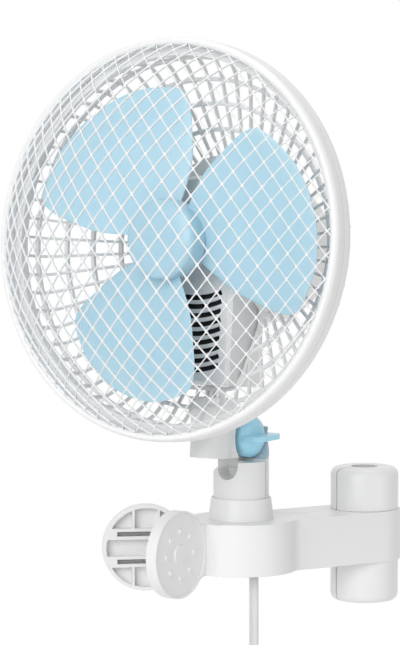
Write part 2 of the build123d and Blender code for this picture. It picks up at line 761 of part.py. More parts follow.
# front shell with the notch
with BuildPart() as neck_front:
    column(neck_start, rear_top)
    cut_neck_top()
    extrude(cavity, amount=cavity_height, mode=Mode.SUBTRACT)
    behind_half = beside_seam(neck_split - seam_gap / 2, 2 * neck_radius)
    extrude(behind_half, amount=2 * tilt_height, mode=Mode.SUBTRACT)
    above_shelf = circle_on(NECK.offset(tilt_height - knob_shelf), 0, 0, 2 * neck_radius)
    extrude(above_shelf, amount=tilt_height, mode=Mode.SUBTRACT)
    ear_room, room_width = ear_shape(seat_gap)
    extrude(ear_room, amount=room_width, mode=Mode.SUBTRACT)
    for aside in (-screw_aside, screw_aside):
        hole = circle_on(SEAM, aside, screw_level, screw_radius + seat_gap)
        extrude(hole, amount=neck_screw_bite, mode=Mode.SUBTRACT)
save(neck_front, "neck_front")

# two screws from the rear hold the shells together
with BuildPart() as neck_screws:
    for aside in (-screw_aside, screw_aside):
        seat = SEAM.offset(-screw_seat - seat_gap)
        extrude(circle_on(seat, aside, screw_level, screw_radius), amount=screw_seat + neck_screw_bite)
        extrude(circle_on(seat, aside, screw_level, screw_head_radius), amount=-screw_head_height)
save(neck_screws, "neck_screws")

# ---------------------------------------------------------------- tilt joint
with BuildPart() as tilt_washer:
    extrude(ring_on(NECK_SIDE.offset(-ear_right - seat_gap), knob_radius - 3, bolt_radius + bore_clearance),
            amount=-washer_thickness)
save(tilt_washer, "tilt_washer")

# bracket: tongue beside the ear, arm in front of it, and the flared socket for the stem
with BuildPart() as tilt_bracket:
    with BuildSketch(STEM.offset(-boss_drop)) as arm_plan:
        with BuildLine():
            Polyline(
                (tongue_left, stem_forward),
                (tongue_left, stem_forward - ear_radius),
                (-boss_radius_outer, 0),
                (arm_right, 0),
                (arm_right, stem_forward),
                close=True,
            )
        make_face()
    extrude(arm_plan.sketch, amount=2 * boss_drop)
    extrude(circle_on(TILT_SIDE.offset(-tongue_right), 0, 0, tongue_radius), amount=tongue_width)
    ear_space = circle_on(TILT_SIDE.offset(-tongue_right), 0, 0, ear_radius + ear_sweep)
    extrude(ear_space, amount=-3 * ear_radius, mode=Mode.SUBTRACT)
    flare = socket_top_radius - boss_radius_outer
    bell = [(boss_radius_outer + flare * share ** 2, socket_rise * share) for share in (0, 0.35, 0.7, 1)]
    revolved(STEM_CUT, [(0, -boss_drop), (boss_radius_outer, -boss_drop), *bell, (0, socket_rise)], stem_axis)
    stem_hole = circle_on(STEM.offset(socket_rise), 0, 0, stem_radius + seat_gap)
    extrude(stem_hole, amount=-(socket_rise + stem_depth), mode=Mode.SUBTRACT)
    extrude(circle_on(TILT_SIDE, 0, 0, bolt_radius + seat_gap), amount=2 * neck_radius, mode=Mode.SUBTRACT)
    head_floor = TILT_SIDE.offset(-tongue_left - bolt_head_height)
    head_room = circle_on(head_floor, 0, 0, bolt_head_radius + seat_gap)
    extrude(head_room, amount=neck_radius, mode=Mode.SUBTRACT)
save(tilt_bracket, "tilt_bracket")

# bolt through tongue, ear and knob
with BuildPart() as tilt_bolt:
    head_seat_plane = TILT_SIDE.offset(-tongue_left - bolt_head_height + seat_gap)
    with BuildSketch(head_seat_plane) as bolt_head:
        Circle(bolt_head_radius)
    extrude(bolt_head.sketch, amount=bolt_head_height - seat_gap - socket_recess)
    with BuildSketch(head_seat_plane.offset(bolt_head_height - seat_gap - socket_recess)) as drive:
        RegularPolygon(bolt_radius, 6)
    extrude(drive.sketch, amount=-bolt_head_height / 2, mode=Mode.SUBTRACT)
    bolt_length = knob_base + knob_side - tongue_left - bolt_head_height
    extrude(circle_on(head_seat_plane, 0, 0, bolt_radius), amount=-bolt_length)
save(tilt_bolt, "tilt_bolt")

# knob: round body, domed top and a wing to turn it by
knob_plane = TILT_SIDE.offset(-knob_base)
insert_depth = knob_side - knob_roof
with BuildPart() as tilt_knob:
    knob_end = knob_base + knob_side + knob_dome
    dome = [(knob_end - knob_dome * share ** 2, knob_radius * share) for share in (0.95, 0.8, 0.55, 0.25)]
    shoulder = (knob_base + knob_side, knob_radius)
    revolved(TILT_CUT, [(knob_base, 0), (knob_base, knob_radius), shoulder, *dome, (knob_end, 0)], tilt_axis)
    with BuildSketch(WING) as wing:
        with Locations((0, knob_base + knob_side)):
            Ellipse(wing_half, wing_rise)
        with Locations((0, knob_base - wing_rise)):
            Rectangle(3 * wing_half, 2 * wing_rise, mode=Mode.SUBTRACT)
    extrude(wing.sketch, amount=wing_thickness / 2, both=True)
    extrude(circle_on(knob_plane, 0, 0, insert_radius + seat_gap), amount=-insert_depth, mode=Mode.SUBTRACT)
    bolt_room = circle_on(knob_plane, 0, 0, bolt_radius + bore_clearance)
    extrude(bolt_room, amount=-knob_side - fit_gap, mode=Mode.SUBTRACT)
save(tilt_knob, "tilt_knob")

with BuildPart() as knob_insert:
    with BuildSketch(knob_plane.offset(-seat_gap)) as insert_outline:
        Circle(insert_radius)
        Circle(bolt_radius + bore_clearance, mode=Mode.SUBTRACT)
    extrude(insert_outline.sketch, amount=-(insert_depth - 2 * seat_gap))
save(knob_insert, "knob_insert")

# oscillation stem: fixed post with the arm that anchors the link
with BuildPart() as osc_stem:
    stem_foot = circle_on(STEM.offset(-stem_depth + seat_gap), 0, 0, stem_radius)
    extrude(stem_foot, amount=stem_depth + stem_top - seat_gap)
    with BuildSketch(STEM.offset(anchor_level)) as anchor_arm:
        with Locations((0, anchor_reach / 2)):
            SlotOverall(anchor_reach + 2 * link_eye, 2 * link_eye, rotation=90)
    extrude(anchor_arm.sketch, amount=anchor_thickness)
    anchor_pin = circle_on(STEM.offset(anchor_level), 0, anchor_reach, link_pin)
    extrude(anchor_pin, amount=-link_thickness - 2 * fit_gap)
save(osc_stem, "osc_stem")


# ---------------------------------------------------------------- guard
# front guard: ring and a dome of diamond net
dome_edge = (ring_radius + ring_inner) / 2
dome_sphere = (dome_edge ** 2 + guard_depth ** 2) / (2 * guard_depth)
dome_base = guard_depth - dome_sphere
cell_side = hypot(cell_width, cell_height) / 2
cell_inset = 1 - strand_width / 2 * cell_side * 4 / (cell_width * cell_height)
columns = ceil(2 * ring_inner / cell_width)
rows = ceil(2 * ring_inner / cell_height)
net_cells = [
    (i * cell_width / 2, j * cell_height / 2)
    for i in range(-columns, columns + 1)
    for j in range(-rows, rows + 1)
    if (i + j) % 2 == 0 and hypot(i * cell_width / 2, j * cell_height / 2) < ring_inner - net_margin
]
with BuildPart() as front_grille:
    with BuildSketch(MOTOR.offset(-1)) as net:
        Circle(dome_edge)
        with Locations(net_cells):
            Polygon(
                (cell_width / 2 * cell_inset, 0),
                (0, cell_height / 2 * cell_inset),
                (-cell_width / 2 * cell_inset, 0),
                (0, -cell_height / 2 * cell_inset),
                mode=Mode.SUBTRACT,
            )
    extrude(net.sketch, amount=guard_depth + 2)
    with BuildSketch(MOTOR_CUT) as dome_profile:
        with Locations((0, dome_base)):
            Circle(dome_sphere)
            Circle(dome_sphere - guard_thickness, mode=Mode.SUBTRACT)
        with Locations((-dome_sphere, 0)):
            Rectangle(2 * dome_sphere, 6 * dome_sphere, mode=Mode.SUBTRACT)
        with Locations((0, dome_base)):
            Rectangle(3 * dome_sphere, 2 * (-dome_base - 0.6), mode=Mode.SUBTRACT)
        with Locations((0, dome_base - dome_sphere)):
            Rectangle(3 * dome_sphere, 2 * dome_sphere, mode=Mode.SUBTRACT)
    revolve(dome_profile.sketch, axis=motor_axis, mode=Mode.INTERSECT)
    with BuildSketch(MOTOR_CUT) as ring_profile:
        with Locations(((ring_radius + ring_inner) / 2, (ring_front + ring_split + seat_gap / 2) / 2)):
            Rectangle(ring_radius - ring_inner, ring_front - ring_split - seat_gap / 2)
    revolve(ring_profile.sketch, axis=motor_axis)
    screw_holes = four_on(MOTOR.offset(ring_split), dome_edge, ring_screw_radius + seat_gap)
    extrude(screw_holes, amount=ring_screw_bite + seat_gap, mode=Mode.SUBTRACT)
save(front_grille, "front_grille")

# rear guard: ring, radial ribs that turn in behind the blades, a middle ring and a centre plate
chin_room = 0.5
with BuildPart() as rear_grille:
    with BuildSketch(MOTOR_CUT) as rib_profile:
        with BuildLine():
            Polyline(
                (rear_bend_radius + rib_depth, ring_back + 1),
                (rear_bend_radius + rib_depth, rear_bend_depth),
                (rear_plate_radius - 1, rear_depth - 2),
                (rear_plate_radius - 1, rear_depth - 2 + rib_depth),
                (rear_bend_radius, rear_bend_depth + rib_depth / 2),
                (rear_bend_radius, ring_back + 1),
                close=True,
            )
        make_face()
    revolve(rib_profile.sketch, axis=motor_axis)
    with BuildSketch(MOTOR) as spokes:
        with PolarLocations(0, rear_ribs // 2):
            Rectangle(3 * ring_radius, rib_width)
    extrude(spokes.sketch, amount=3 * rear_depth, mode=Mode.INTERSECT)
    slope = (rear_bend_depth - rear_depth + 2) / (rear_bend_radius + rib_depth - rear_plate_radius + 1)
    middle_depth = rear_depth - 2 + slope * (rear_middle_radius - rear_plate_radius + 1)
    for radius, level, width in (
        (rear_middle_radius, middle_depth - 0.6, 2.4),
        (rear_bend_radius, rear_bend_depth - 0.4, 2.4),
    ):
        extrude(ring_on(MOTOR.offset(level), radius + width / 2, radius - width / 2), amount=rib_depth)
    rim = ring_on(MOTOR.offset(ring_split - seat_gap / 2), ring_radius, rear_bend_radius)
    extrude(rim, amount=ring_back - ring_split + seat_gap / 2)
    plate = ring_on(MOTOR.offset(plate_front), rear_plate_radius, cover_radius + fit_gap)
    extrude(plate, amount=-plate_depth)
    chin_cut = block_on(MOTOR, -chin_half - chin_room, chin_half + chin_room, chin_bottom - chin_room, 0)
    extrude(chin_cut, amount=2 * rear_depth, mode=Mode.SUBTRACT)
    screw_holes = four_on(MOTOR.offset(ring_back), dome_edge, ring_screw_radius + seat_gap)
    extrude(screw_holes, amount=ring_split - ring_back + 1, mode=Mode.SUBTRACT)
    plate_holes = four_on(MOTOR.offset(plate_front + 1), tab_circle, screw_radius + seat_gap)
    extrude(plate_holes, amount=-plate_depth - 2, mode=Mode.SUBTRACT)
save(rear_grille, "rear_grille")

with BuildPart() as ring_screws:
    ring_seat = MOTOR.offset(ring_back - seat_gap)
    extrude(four_on(ring_seat, dome_edge, ring_screw_radius), amount=ring_split - ring_back + ring_screw_bite)
    extrude(four_on(ring_seat, dome_edge, ring_screw_radius + ring_screw_lip), amount=-screw_head_height)
save(ring_screws, "ring_screws")


# ---------------------------------------------------------------- motor covers
def cover_outline(plane, inset):
    """Round motor cover with its straight chin."""
    with BuildSketch(plane) as outline:
        with Locations((0, (chin_bottom + inset) / 2)):
            Rectangle(2 * (chin_half - inset), -(chin_bottom + inset))
        fillet(outline.vertices().group_by(Axis((0, 0, 0), upright))[0], chin_round - inset)
        Circle(cover_radius - inset)
    return outline.sketch


def smile(k):
    """One vent: a curved bar between two arcs that open upwards."""
    low = vent_arc + vent_width / 2
    high = vent_arc - vent_width / 2
    start = radians(270 - vent_sweep)
    middle = vent_arc - vent_first - vent_pitch * k
    with BuildSketch(MOTOR.offset(cover_front)) as vent:
        with BuildLine():
            lower = ThreePointArc(
                (low * cos(start), middle + low * sin(start)), (0, middle - low),
                (-low * cos(start), middle + low * sin(start)),
            )
            upper = ThreePointArc(
                (high * cos(start), middle + high * sin(start)), (0, middle - high),
                (-high * cos(start), middle + high * sin(start)),
            )
            Line(lower @ 0, upper @ 0)
            Line(lower @ 1, upper @ 1)
        make_face()
    return vent.sketch


with BuildPart() as motor_front_cover:
    extrude(cover_outline(MOTOR.offset(cover_front), 0), amount=cover_split - cover_front)
    chamfer(motor_front_cover.faces().sort_by(motor_axis)[-1].edges(), cover_edge)
    chin_back = cover_split - chin_step
    with BuildSketch(MOTOR.offset(cover_split)) as chin_rear:
        with Locations((0, chin_bottom / 2)):
            Rectangle(2 * chin_half, -chin_bottom)
        fillet(chin_rear.vertices().group_by(Axis((0, 0, 0), upright))[0], chin_round)
        Circle(rear_radius + fit_gap, mode=Mode.SUBTRACT)
    extrude(chin_rear.sketch, amount=chin_back - cover_split)
    hollow = cover_outline(MOTOR.offset(cover_front - cover_wall), cover_wall)
    extrude(hollow, amount=chin_back - cover_front + 2 * cover_wall, mode=Mode.SUBTRACT)
    back_opening = circle_on(MOTOR.offset(cover_split), 0, 0, cover_radius - cover_wall)
    extrude(back_opening, amount=2 * chin_back, mode=Mode.SUBTRACT)
    for k in range(vent_count):
        extrude(smile(k), amount=-2 * cover_wall, mode=Mode.SUBTRACT)
    front_hole = circle_on(MOTOR.offset(cover_front), 0, 0, shaft_hole)
    extrude(front_hole, amount=-2 * cover_wall, mode=Mode.SUBTRACT)
    posts = four_on(MOTOR.offset(cover_front - cover_wall), post_circle, post_radius)
    extrude(posts, amount=bracket_front - cover_front + cover_wall)
    with BuildSketch(MOTOR.offset(plate_front + seat_gap)) as tabs:
        with PolarLocations((tab_circle + cover_radius) / 2, 4, start_angle=45):
            SlotOverall(tab_circle - cover_radius + 2 * tab_radius, 2 * tab_radius)
        Circle(cover_radius - cover_wall, mode=Mode.SUBTRACT)
    extrude(tabs.sketch, amount=tab_height)
    tab_holes = four_on(MOTOR.offset(plate_front + seat_gap), tab_circle, screw_radius + seat_gap)
    extrude(tab_holes, amount=tab_height - cover_wall / 2, mode=Mode.SUBTRACT)
    stem_hole = circle_on(STEM.offset(axis_height + chin_bottom - 1), 0, 0, stem_radius + bore_clearance)
    extrude(stem_hole, amount=cover_wall + 2, mode=Mode.SUBTRACT)
    for level in guide_levels:
        with BuildSketch(STEM.offset(axis_height + level)) as guide:
            Rectangle(2 * chin_half - 2 * cover_wall, 2 * guide_half)
            Circle(stem_radius + bore_clearance, mode=Mode.SUBTRACT)
        extrude(guide.sketch, amount=cover_wall)
save(motor_front_cover, "motor_front_cover")


def rear_outline(inset):
    """Half profile of the rear cover, moved in by an inset."""
    back_edge = ease(rear_radius - rear_round, cover_back + rear_round, rear_round - inset, 0, -90)
    return [(0, rear_front), (rear_radius - inset, rear_front), *back_edge, (0, cover_back + inset)]


rear_front = cover_split - seat_gap
with BuildPart() as motor_rear_cover:
    revolved(MOTOR_CUT, rear_outline(0), motor_axis)
    flange = ring_on(MOTOR.offset(rear_front), flange_radius, cover_radius)
    extrude(flange, amount=-cover_wall)
    with BuildSketch(MOTOR.offset(rear_front)) as chin_gap:
        with Locations((0, chin_bottom / 2)):
            Rectangle(2 * (chin_half + chin_room), -chin_bottom)
        Circle(rear_radius, mode=Mode.SUBTRACT)
    extrude(chin_gap.sketch, amount=-cover_wall, mode=Mode.SUBTRACT)
    revolved(MOTOR_CUT, rear_outline(cover_wall), motor_axis, Mode.SUBTRACT)
    front_wall = ring_on(MOTOR.offset(rear_front), rear_radius - cover_wall / 2, cover_radius - cover_wall)
    extrude(front_wall, amount=-cover_wall)
    window_low = cover_wall - rear_radius
    arm_window = block_on(MOTOR.offset(rear_front), -window_half, window_half, window_low, -post_circle)
    extrude(arm_window, amount=-cover_wall, mode=Mode.SUBTRACT)
    flange_holes = four_on(MOTOR.offset(rear_front), tab_circle, screw_radius + seat_gap)
    extrude(flange_holes, amount=-cover_wall, mode=Mode.SUBTRACT)
    with BuildSketch(MOTOR.offset(cover_back)) as back_vents:
        with PolarLocations(rear_vent_circle, rear_vents, start_angle=180 / rear_vents):
            Rectangle(rear_vent_length, rear_vent_width)
        with Locations((0, switch_height)):
            Circle(switch_radius + 2, mode=Mode.SUBTRACT)
    extrude(back_vents.sketch, amount=cover_wall, mode=Mode.SUBTRACT)
    switch_hole = circle_on(MOTOR.offset(cover_back), 0, switch_height, switch_stem + bore_clearance)
    extrude(switch_hole, amount=cover_wall, mode=Mode.SUBTRACT)
    extrude(circle_on(GEAR.offset(rear_radius / 2), gear_aside, gear_behind, knob_stem + bore_clearance),
            amount=rear_radius, mode=Mode.SUBTRACT)
save(motor_rear_cover, "motor_rear_cover")

with BuildPart() as cover_screws:
    cover_seat = MOTOR.offset(rear_front - cover_wall - seat_gap)
    extrude(four_on(cover_seat, tab_circle, screw_radius), amount=plate_depth + tab_height)
    extrude(four_on(cover_seat, tab_circle, screw_head_radius), amount=-screw_head_height)
save(cover_screws, "cover_screws")


# ---------------------------------------------------------------- motor
stator_back = stator_front - stator_length
bracket_back = stator_back - (bracket_front - stator_front) + bracket_plate
with BuildPart() as stator_core:
    with BuildSketch(MOTOR.offset(stator_back)) as lamination:
        Circle(stator_radius)
        Circle(stator_radius - stator_yoke, mode=Mode.SUBTRACT)
        with PolarLocations(0, 4):
            Rectangle(2 * stator_radius - stator_yoke, pole_width)
        Circle(rotor_radius + pole_shoe)
        with PolarLocations((rotor_radius + pole_shoe) / 2, 4, start_angle=45):
            Rectangle(rotor_radius + pole_shoe, pole_slot, mode=Mode.SUBTRACT)
        Circle(rotor_radius + air_gap, mode=Mode.SUBTRACT)
    extrude(lamination.sketch, amount=stator_length)
save(stator_core, "stator_core")

# one coil on each pole, standing proud of the core at both ends
with BuildPart() as stator_windings:
    coil_inner = rotor_radius + pole_shoe + seat_gap
    coil_outer = sqrt((stator_radius - stator_yoke - fit_gap) ** 2 - (pole_width / 2 + winding_side) ** 2)
    with BuildSketch(MOTOR.offset(stator_back - winding_overhang)) as coils:
        with PolarLocations((coil_inner + coil_outer) / 2, 4):
            Rectangle(coil_outer - coil_inner, pole_width + 2 * winding_side)
    extrude(coils.sketch, amount=stator_length + 2 * winding_overhang)
    with BuildSketch(MOTOR.offset(stator_back - seat_gap)) as poles:
        with PolarLocations((coil_inner + coil_outer) / 2, 4):
            Rectangle(2 * (coil_outer - coil_inner), pole_width + 2 * seat_gap)
    extrude(poles.sketch, amount=stator_length + 2 * seat_gap, mode=Mode.SUBTRACT)
save(stator_windings, "stator_windings")


def make_bracket(plate_level, way):
    """End bracket: a plate, four posts to the core and a boss for the bush."""
    with BuildPart() as bracket:
        extrude(circle_on(MOTOR.offset(plate_level), 0, 0, stator_radius), amount=way * bracket_plate)
        inner = plate_level + way * bracket_plate
        core_face = stator_front if way < 0 else stator_back
        posts = four_on(MOTOR.offset(inner), post_circle, post_radius)
        extrude(posts, amount=core_face - inner - way * seat_gap)
        extrude(circle_on(MOTOR.offset(plate_level), 0, 0, bearing_boss), amount=-way * boss_height)
        bore = circle_on(MOTOR.offset(inner), 0, 0, bush_radius + seat_gap)
        extrude(bore, amount=-way * (boss_height + bracket_plate), mode=Mode.SUBTRACT)
        with BuildSketch(MOTOR.offset(inner)) as air_holes:
            with PolarLocations(bracket_hole_circle, 4):
                Circle(bracket_hole)
        extrude(air_holes.sketch, amount=-way * bracket_plate, mode=Mode.SUBTRACT)
    return bracket


front_plate = bracket_front - seat_gap
back_plate = stator_back - (front_plate - stator_front)
save(make_bracket(front_plate, -1), "motor_front_bracket")
save(make_bracket(back_plate, 1), "motor_rear_bracket")

with BuildPart() as bearing_bushes:
    for level, way in ((front_plate, -1), (back_plate, 1)):
        bush = ring_on(MOTOR.offset(level + way * bracket_plate), bush_radius, shaft_radius + shaft_clearance)
        extrude(bush, amount=-way * (boss_height + bracket_plate))
save(bearing_bushes, "bearing_bushes")

with BuildPart() as rotor:
    extrude(ring_on(MOTOR.offset(stator_back), rotor_radius, shaft_radius + seat_gap), amount=stator_length)
    for level, way in ((stator_front, 1), (stator_back, -1)):
        extrude(ring_on(MOTOR.offset(level), rotor_radius - 1, rotor_radius - 5), amount=way * end_ring)
save(rotor, "rotor")

with BuildPart() as motor_shaft:
    shaft_step = worm_front + seat_gap
    extrude(circle_on(MOTOR.offset(shaft_step), 0, 0, shaft_radius), amount=shaft_front - shaft_step)
    chamfer(motor_shaft.edges(), 0.4)
    extrude(circle_on(MOTOR.offset(worm_back), 0, 0, shaft_radius / 2), amount=shaft_front - worm_back)
    flat = block_on(MOTOR.offset(shaft_front), -shaft_radius, shaft_radius, shaft_flat, shaft_radius)
    extrude(flat, amount=-shaft_grip, mode=Mode.SUBTRACT)
save(motor_shaft, "motor_shaft")

# ---------------------------------------------------------------- propeller
def blade_plan(plane):
    """Outline of one blade seen along the axis, pointing along x."""
    half = radians(blade_half_angle)
    tip = (blade_radius * cos(half), blade_radius * sin(half))
    root = (blade_root, blade_root_half)
    bulge = (0.52 * (root[0] + tip[0]), 0.5 * (root[1] + tip[1]) + blade_belly)
    with BuildSketch(plane) as outline:
        with BuildLine():
            ThreePointArc((root[0], -root[1]), (bulge[0], -bulge[1]), (tip[0], -tip[1]))
            ThreePointArc((tip[0], -tip[1]), (blade_radius, 0), tip)
            ThreePointArc(tip, bulge, root)
            Line(root, (root[0], -root[1]))
        make_face()
        tips = [v for v in outline.vertices() if plane.to_local_coords(v).X > blade_radius / 2]
        fillet(tips, blade_tip_round)
    return outline.sketch


with BuildPart() as blade:
    for radius, pitch in blade_stations:
        station = Plane(motor_centre + side * radius + nose * blade_level, x_dir=upright, z_dir=side)
        with BuildSketch(station):
            Rectangle(blade_chord, blade_thickness, rotation=pitch)
    loft()
    extrude(blade_plan(MOTOR.offset(2 * blade_level)), amount=-4 * blade_level, mode=Mode.INTERSECT)

with BuildPart() as propeller:
    for k in range(blade_count):
        add(blade.part.rotate(motor_axis, blade_phase + 360 / blade_count * k))
    extrude(circle_on(MOTOR.offset(cap_back), 0, 0, cap_radius), amount=cap_side_top - cap_back)
    shoulder = ease(cap_radius - cap_round, cap_side_top, cap_round, 0, 90)
    brim = [(0, cap_side_top - 1), (cap_radius, cap_side_top - 1)]
    revolved(MOTOR_CUT, [*brim, *shoulder, (0, cap_front)], motor_axis)
    room = circle_on(MOTOR.offset(2 * blade_level - 5), 0, 0, cap_radius - cap_wall)
    extrude(room, amount=cap_side_top - 2 * blade_level + 5, mode=Mode.SUBTRACT)
    extrude(circle_on(MOTOR.offset(cap_back), 0, 0, hub_boss), amount=cap_side_top - cap_back + 1)
    with BuildSketch(MOTOR.offset(cap_back + cap_wall)) as rib_plan:
        with PolarLocations((hub_boss + cap_radius - cap_wall) / 2, hub_ribs):
            Rectangle(cap_radius - hub_boss, hub_rib_width)
    extrude(rib_plan.sketch, amount=cap_side_top - cap_back - cap_wall)
    shaft_room = circle_on(MOTOR.offset(cap_back - 1), 0, 0, shaft_radius + press_clearance)
    extrude(shaft_room, amount=shaft_front - cap_back + 1 + seat_gap, mode=Mode.SUBTRACT)
    key_plane = MOTOR.offset(shaft_front - shaft_grip + seat_gap)
    key = block_on(key_plane, -shaft_radius, shaft_radius, shaft_flat + seat_gap, shaft_radius + 1)
    extrude(key, amount=shaft_grip)
save(propeller, "propeller")

# ---------------------------------------------------------------- oscillation gearbox
with BuildPart() as shaft_worm:
    sleeve = ring_on(MOTOR.offset(worm_back), worm_radius, shaft_radius / 2 + seat_gap)
    extrude(sleeve, amount=worm_front - worm_back)
    groove_pitch = (worm_front - worm_back) / worm_grooves
    for k in range(worm_grooves):
        level = worm_back + groove_pitch * (k + 0.5)
        groove = ring_on(MOTOR.offset(level), worm_radius + 1, worm_radius - worm_depth)
        extrude(groove, amount=groove_pitch / 4, both=True, mode=Mode.SUBTRACT)
save(shaft_worm, "shaft_worm")


def toothed(level, x, y, radius, teeth, depth):
    """Outline of a plain gear wheel at a level above the motor axis."""
    with BuildSketch(GEAR.offset(level)) as outline:
        with Locations((x, y)):
            Circle(radius - depth)
            with PolarLocations(radius - depth, teeth):
                Rectangle(2 * depth, pi * radius / teeth)
    return outline.sketch


with BuildPart() as worm_gear:
    wheel = toothed(-worm_gear_half, gear_aside, gear_behind, worm_gear_radius, worm_gear_teeth, worm_tooth)
    extrude(wheel, amount=2 * worm_gear_half)
    spindle_low = anchor_level - axis_height
    spindle = circle_on(GEAR.offset(spindle_low), gear_aside, gear_behind, spindle_radius)
    extrude(spindle, amount=spindle_rise - spindle_low)
    pinion = toothed(crank_low, gear_aside, gear_behind, pinion_radius, pinion_teeth, crank_tooth)
    extrude(pinion, amount=crank_thickness)
save(worm_gear, "worm_gear")

with BuildPart() as crank_gear:
    extrude(toothed(crank_low, 0, crank_behind, crank_radius, crank_teeth, crank_tooth), amount=crank_thickness)
    pivot = circle_on(GEAR.offset(crank_low), 0, crank_behind, spindle_radius)
    extrude(pivot, amount=crank_thickness + crank_pivot)
    extrude(circle_on(GEAR.offset(crank_low), 0, crank_behind + crank_throw, link_pin), amount=-crank_pin)
save(crank_gear, "crank_gear")

with BuildPart() as gearbox_case:
    shelf_level = crank_low + crank_thickness + fit_gap
    for low in (shelf_level, top_shelf):
        shelf_plan = block_on(GEAR.offset(low), case_left, case_right, case_front, case_behind)
        extrude(shelf_plan, amount=shelf_thickness)
    lower_shelf = GEAR.offset(shelf_level)
    wall_plan = block_on(lower_shelf, case_right - shelf_thickness, case_right, case_front, case_behind)
    extrude(wall_plan, amount=top_shelf - shelf_level)
    foot = block_on(lower_shelf, case_left, case_right, crank_behind - 2 * spindle_radius, case_front)
    extrude(foot, amount=shelf_thickness)
    bore = spindle_radius + bore_clearance
    through = circle_on(GEAR.offset(shelf_level - 1), gear_aside, gear_behind, bore)
    extrude(through, amount=top_shelf - shelf_level + shelf_thickness + 2, mode=Mode.SUBTRACT)
    crank_hole = circle_on(GEAR.offset(shelf_level - 1), 0, crank_behind, bore)
    extrude(crank_hole, amount=shelf_thickness + 2, mode=Mode.SUBTRACT)
save(gearbox_case, "gearbox_case")

link_level = anchor_level - fit_gap - link_thickness
with BuildPart() as link_arm:
    link_length = crank_behind + crank_throw - anchor_behind
    with BuildSketch(GEAR.offset(link_level - axis_height)) as link_plan:
        with Locations((0, anchor_behind)):
            Circle(link_eye)
        with Locations((0, anchor_behind + link_length)):
            Circle(link_eye)
        with Locations((0, anchor_behind + link_length / 2)):
            Rectangle(link_eye, link_length)
        with Locations((0, anchor_behind), (0, anchor_behind + link_length)):
            Circle(link_pin + bore_clearance, mode=Mode.SUBTRACT)
    extrude(link_plan.sketch, amount=link_thickness)
save(link_arm, "link_arm")

# ---------------------------------------------------------------- controls on the rear cover
with BuildPart() as oscillation_knob:
    stem_low = top_shelf + shelf_thickness + 2 * fit_gap
    waist_low = pull_base + pull_height / 3
    pull_top = pull_base + pull_height
    outline = [
        (0, stem_low),
        (knob_stem, stem_low),
        (knob_stem, pull_base),
        (pull_radius, pull_base),
        (pull_radius, waist_low),
        (pull_radius - pull_waist, waist_low + pull_waist),
        (pull_radius, waist_low + 2 * pull_waist),
        *ease(pull_radius - pull_round, pull_top - pull_round, pull_round, 0, 90),
        (0, pull_top),
    ]
    revolved(PULL, outline, Axis(pull_centre, upright))
save(oscillation_knob, "oscillation_knob")

with BuildPart() as speed_switch:
    inside = cover_back + cover_wall + seat_gap
    extrude(circle_on(MOTOR.offset(inside), 0, switch_height, switch_radius), amount=switch_depth)
    hole = circle_on(MOTOR.offset(inside), 0, switch_height, switch_stem + bore_clearance)
    extrude(hole, amount=switch_depth / 2, mode=Mode.SUBTRACT)
save(speed_switch, "speed_switch")

with BuildPart() as speed_knob:
    knob_face = cover_back - fit_gap
    extrude(circle_on(MOTOR.offset(knob_face), 0, switch_height, dial_radius), amount=-dial_skirt)
    with BuildSketch(MOTOR.offset(knob_face - dial_skirt)) as grip:
        with Locations((0, switch_height)):
            Circle(dial_radius - dial_lip)
            with PolarLocations(dial_radius - dial_lip, 2, start_angle=0):
                Circle(dial_radius - 2 * dial_lip, mode=Mode.SUBTRACT)
            Rectangle(dial_bar, 2 * (dial_radius - dial_lip))
    extrude(grip.sketch, amount=-dial_grip)
    knob_stub = circle_on(MOTOR.offset(knob_face), 0, switch_height, switch_stem)
    extrude(knob_stub, amount=cover_wall + switch_depth / 2)
save(speed_knob, "speed_knob")


# ---------------------------------------------------------------- power cord
# The flat twin cord leaves under the hub, hangs straight, and is tied in a hanging coil.
cord_away = Vector(-sin(view_turn), cos(view_turn), 0)
DROP = Plane(exit_centre, x_dir=cord_away, z_dir=cord_side)      # y up, z along the width


def hung(x, y, across=0.0):
    """A point in the plane of the hanging cord."""
    return DROP.from_local_coords((x, y, across))


with BuildPart() as strain_relief:
    with BuildSketch(EXIT.offset(-relief_lip)) as relief_outline:
        SlotOverall(relief_width, relief_thickness)
    extrude(relief_outline.sketch, amount=relief_height)
    with BuildSketch(EXIT.offset(-relief_lip)) as relief_bore:
        Rectangle(cord_width + 2 * seat_gap, cord_thickness + 2 * seat_gap)
    extrude(relief_bore.sketch, amount=relief_height, mode=Mode.SUBTRACT)
save(strain_relief, "strain_relief")

# route down to the coil: in the plane of the cord, from inside the strain relief
route = [
    (0, relief_height - relief_lip - 1),
    (0, -55.0),
    (-11.0, -74.1),
    (-30.1, -85.1),
]
route_points = [Vector(hung(x, y)) for x, y in route]
runs = [route_points[k + 1] - route_points[k] for k in range(len(route_points) - 1)]
route_radii = []
for before, after in zip(runs, runs[1:]):
    bend = radians(before.get_angle(after))
    route_radii.append(bend_share * min(before.length, after.length) / tan(bend / 2))
with BuildLine() as drop_line:
    FilletPolyline(*route_points, radius=route_radii)
with BuildPart() as power_cord_drop:
    with BuildSketch(Plane(route_points[0], x_dir=cord_side, z_dir=(0, 0, -1))) as drop_section:
        Rectangle(cord_width, cord_thickness)
    sweep(drop_section.sketch, path=drop_line.wire())
save(power_cord_drop, "power_cord_drop")
print("cord radii", [round(radius, 1) for radius in route_radii])

# coil: half turns spiral in on one layer, cross in a tilted half turn and spiral out again
layer_pitch = cord_width + coil_gap
turn_pitch = cord_thickness + coil_gap
entry_heading = runs[-1].normalized()
entry_x = entry_heading.dot(DROP.x_dir)
entry_y = entry_heading.dot(DROP.y_dir)
entry_angle = degrees(atan2(-entry_x, entry_y))
lead_end = (route[-1][0] + entry_x * cord_width, route[-1][1] + entry_y * cord_width)
coil_marks = []


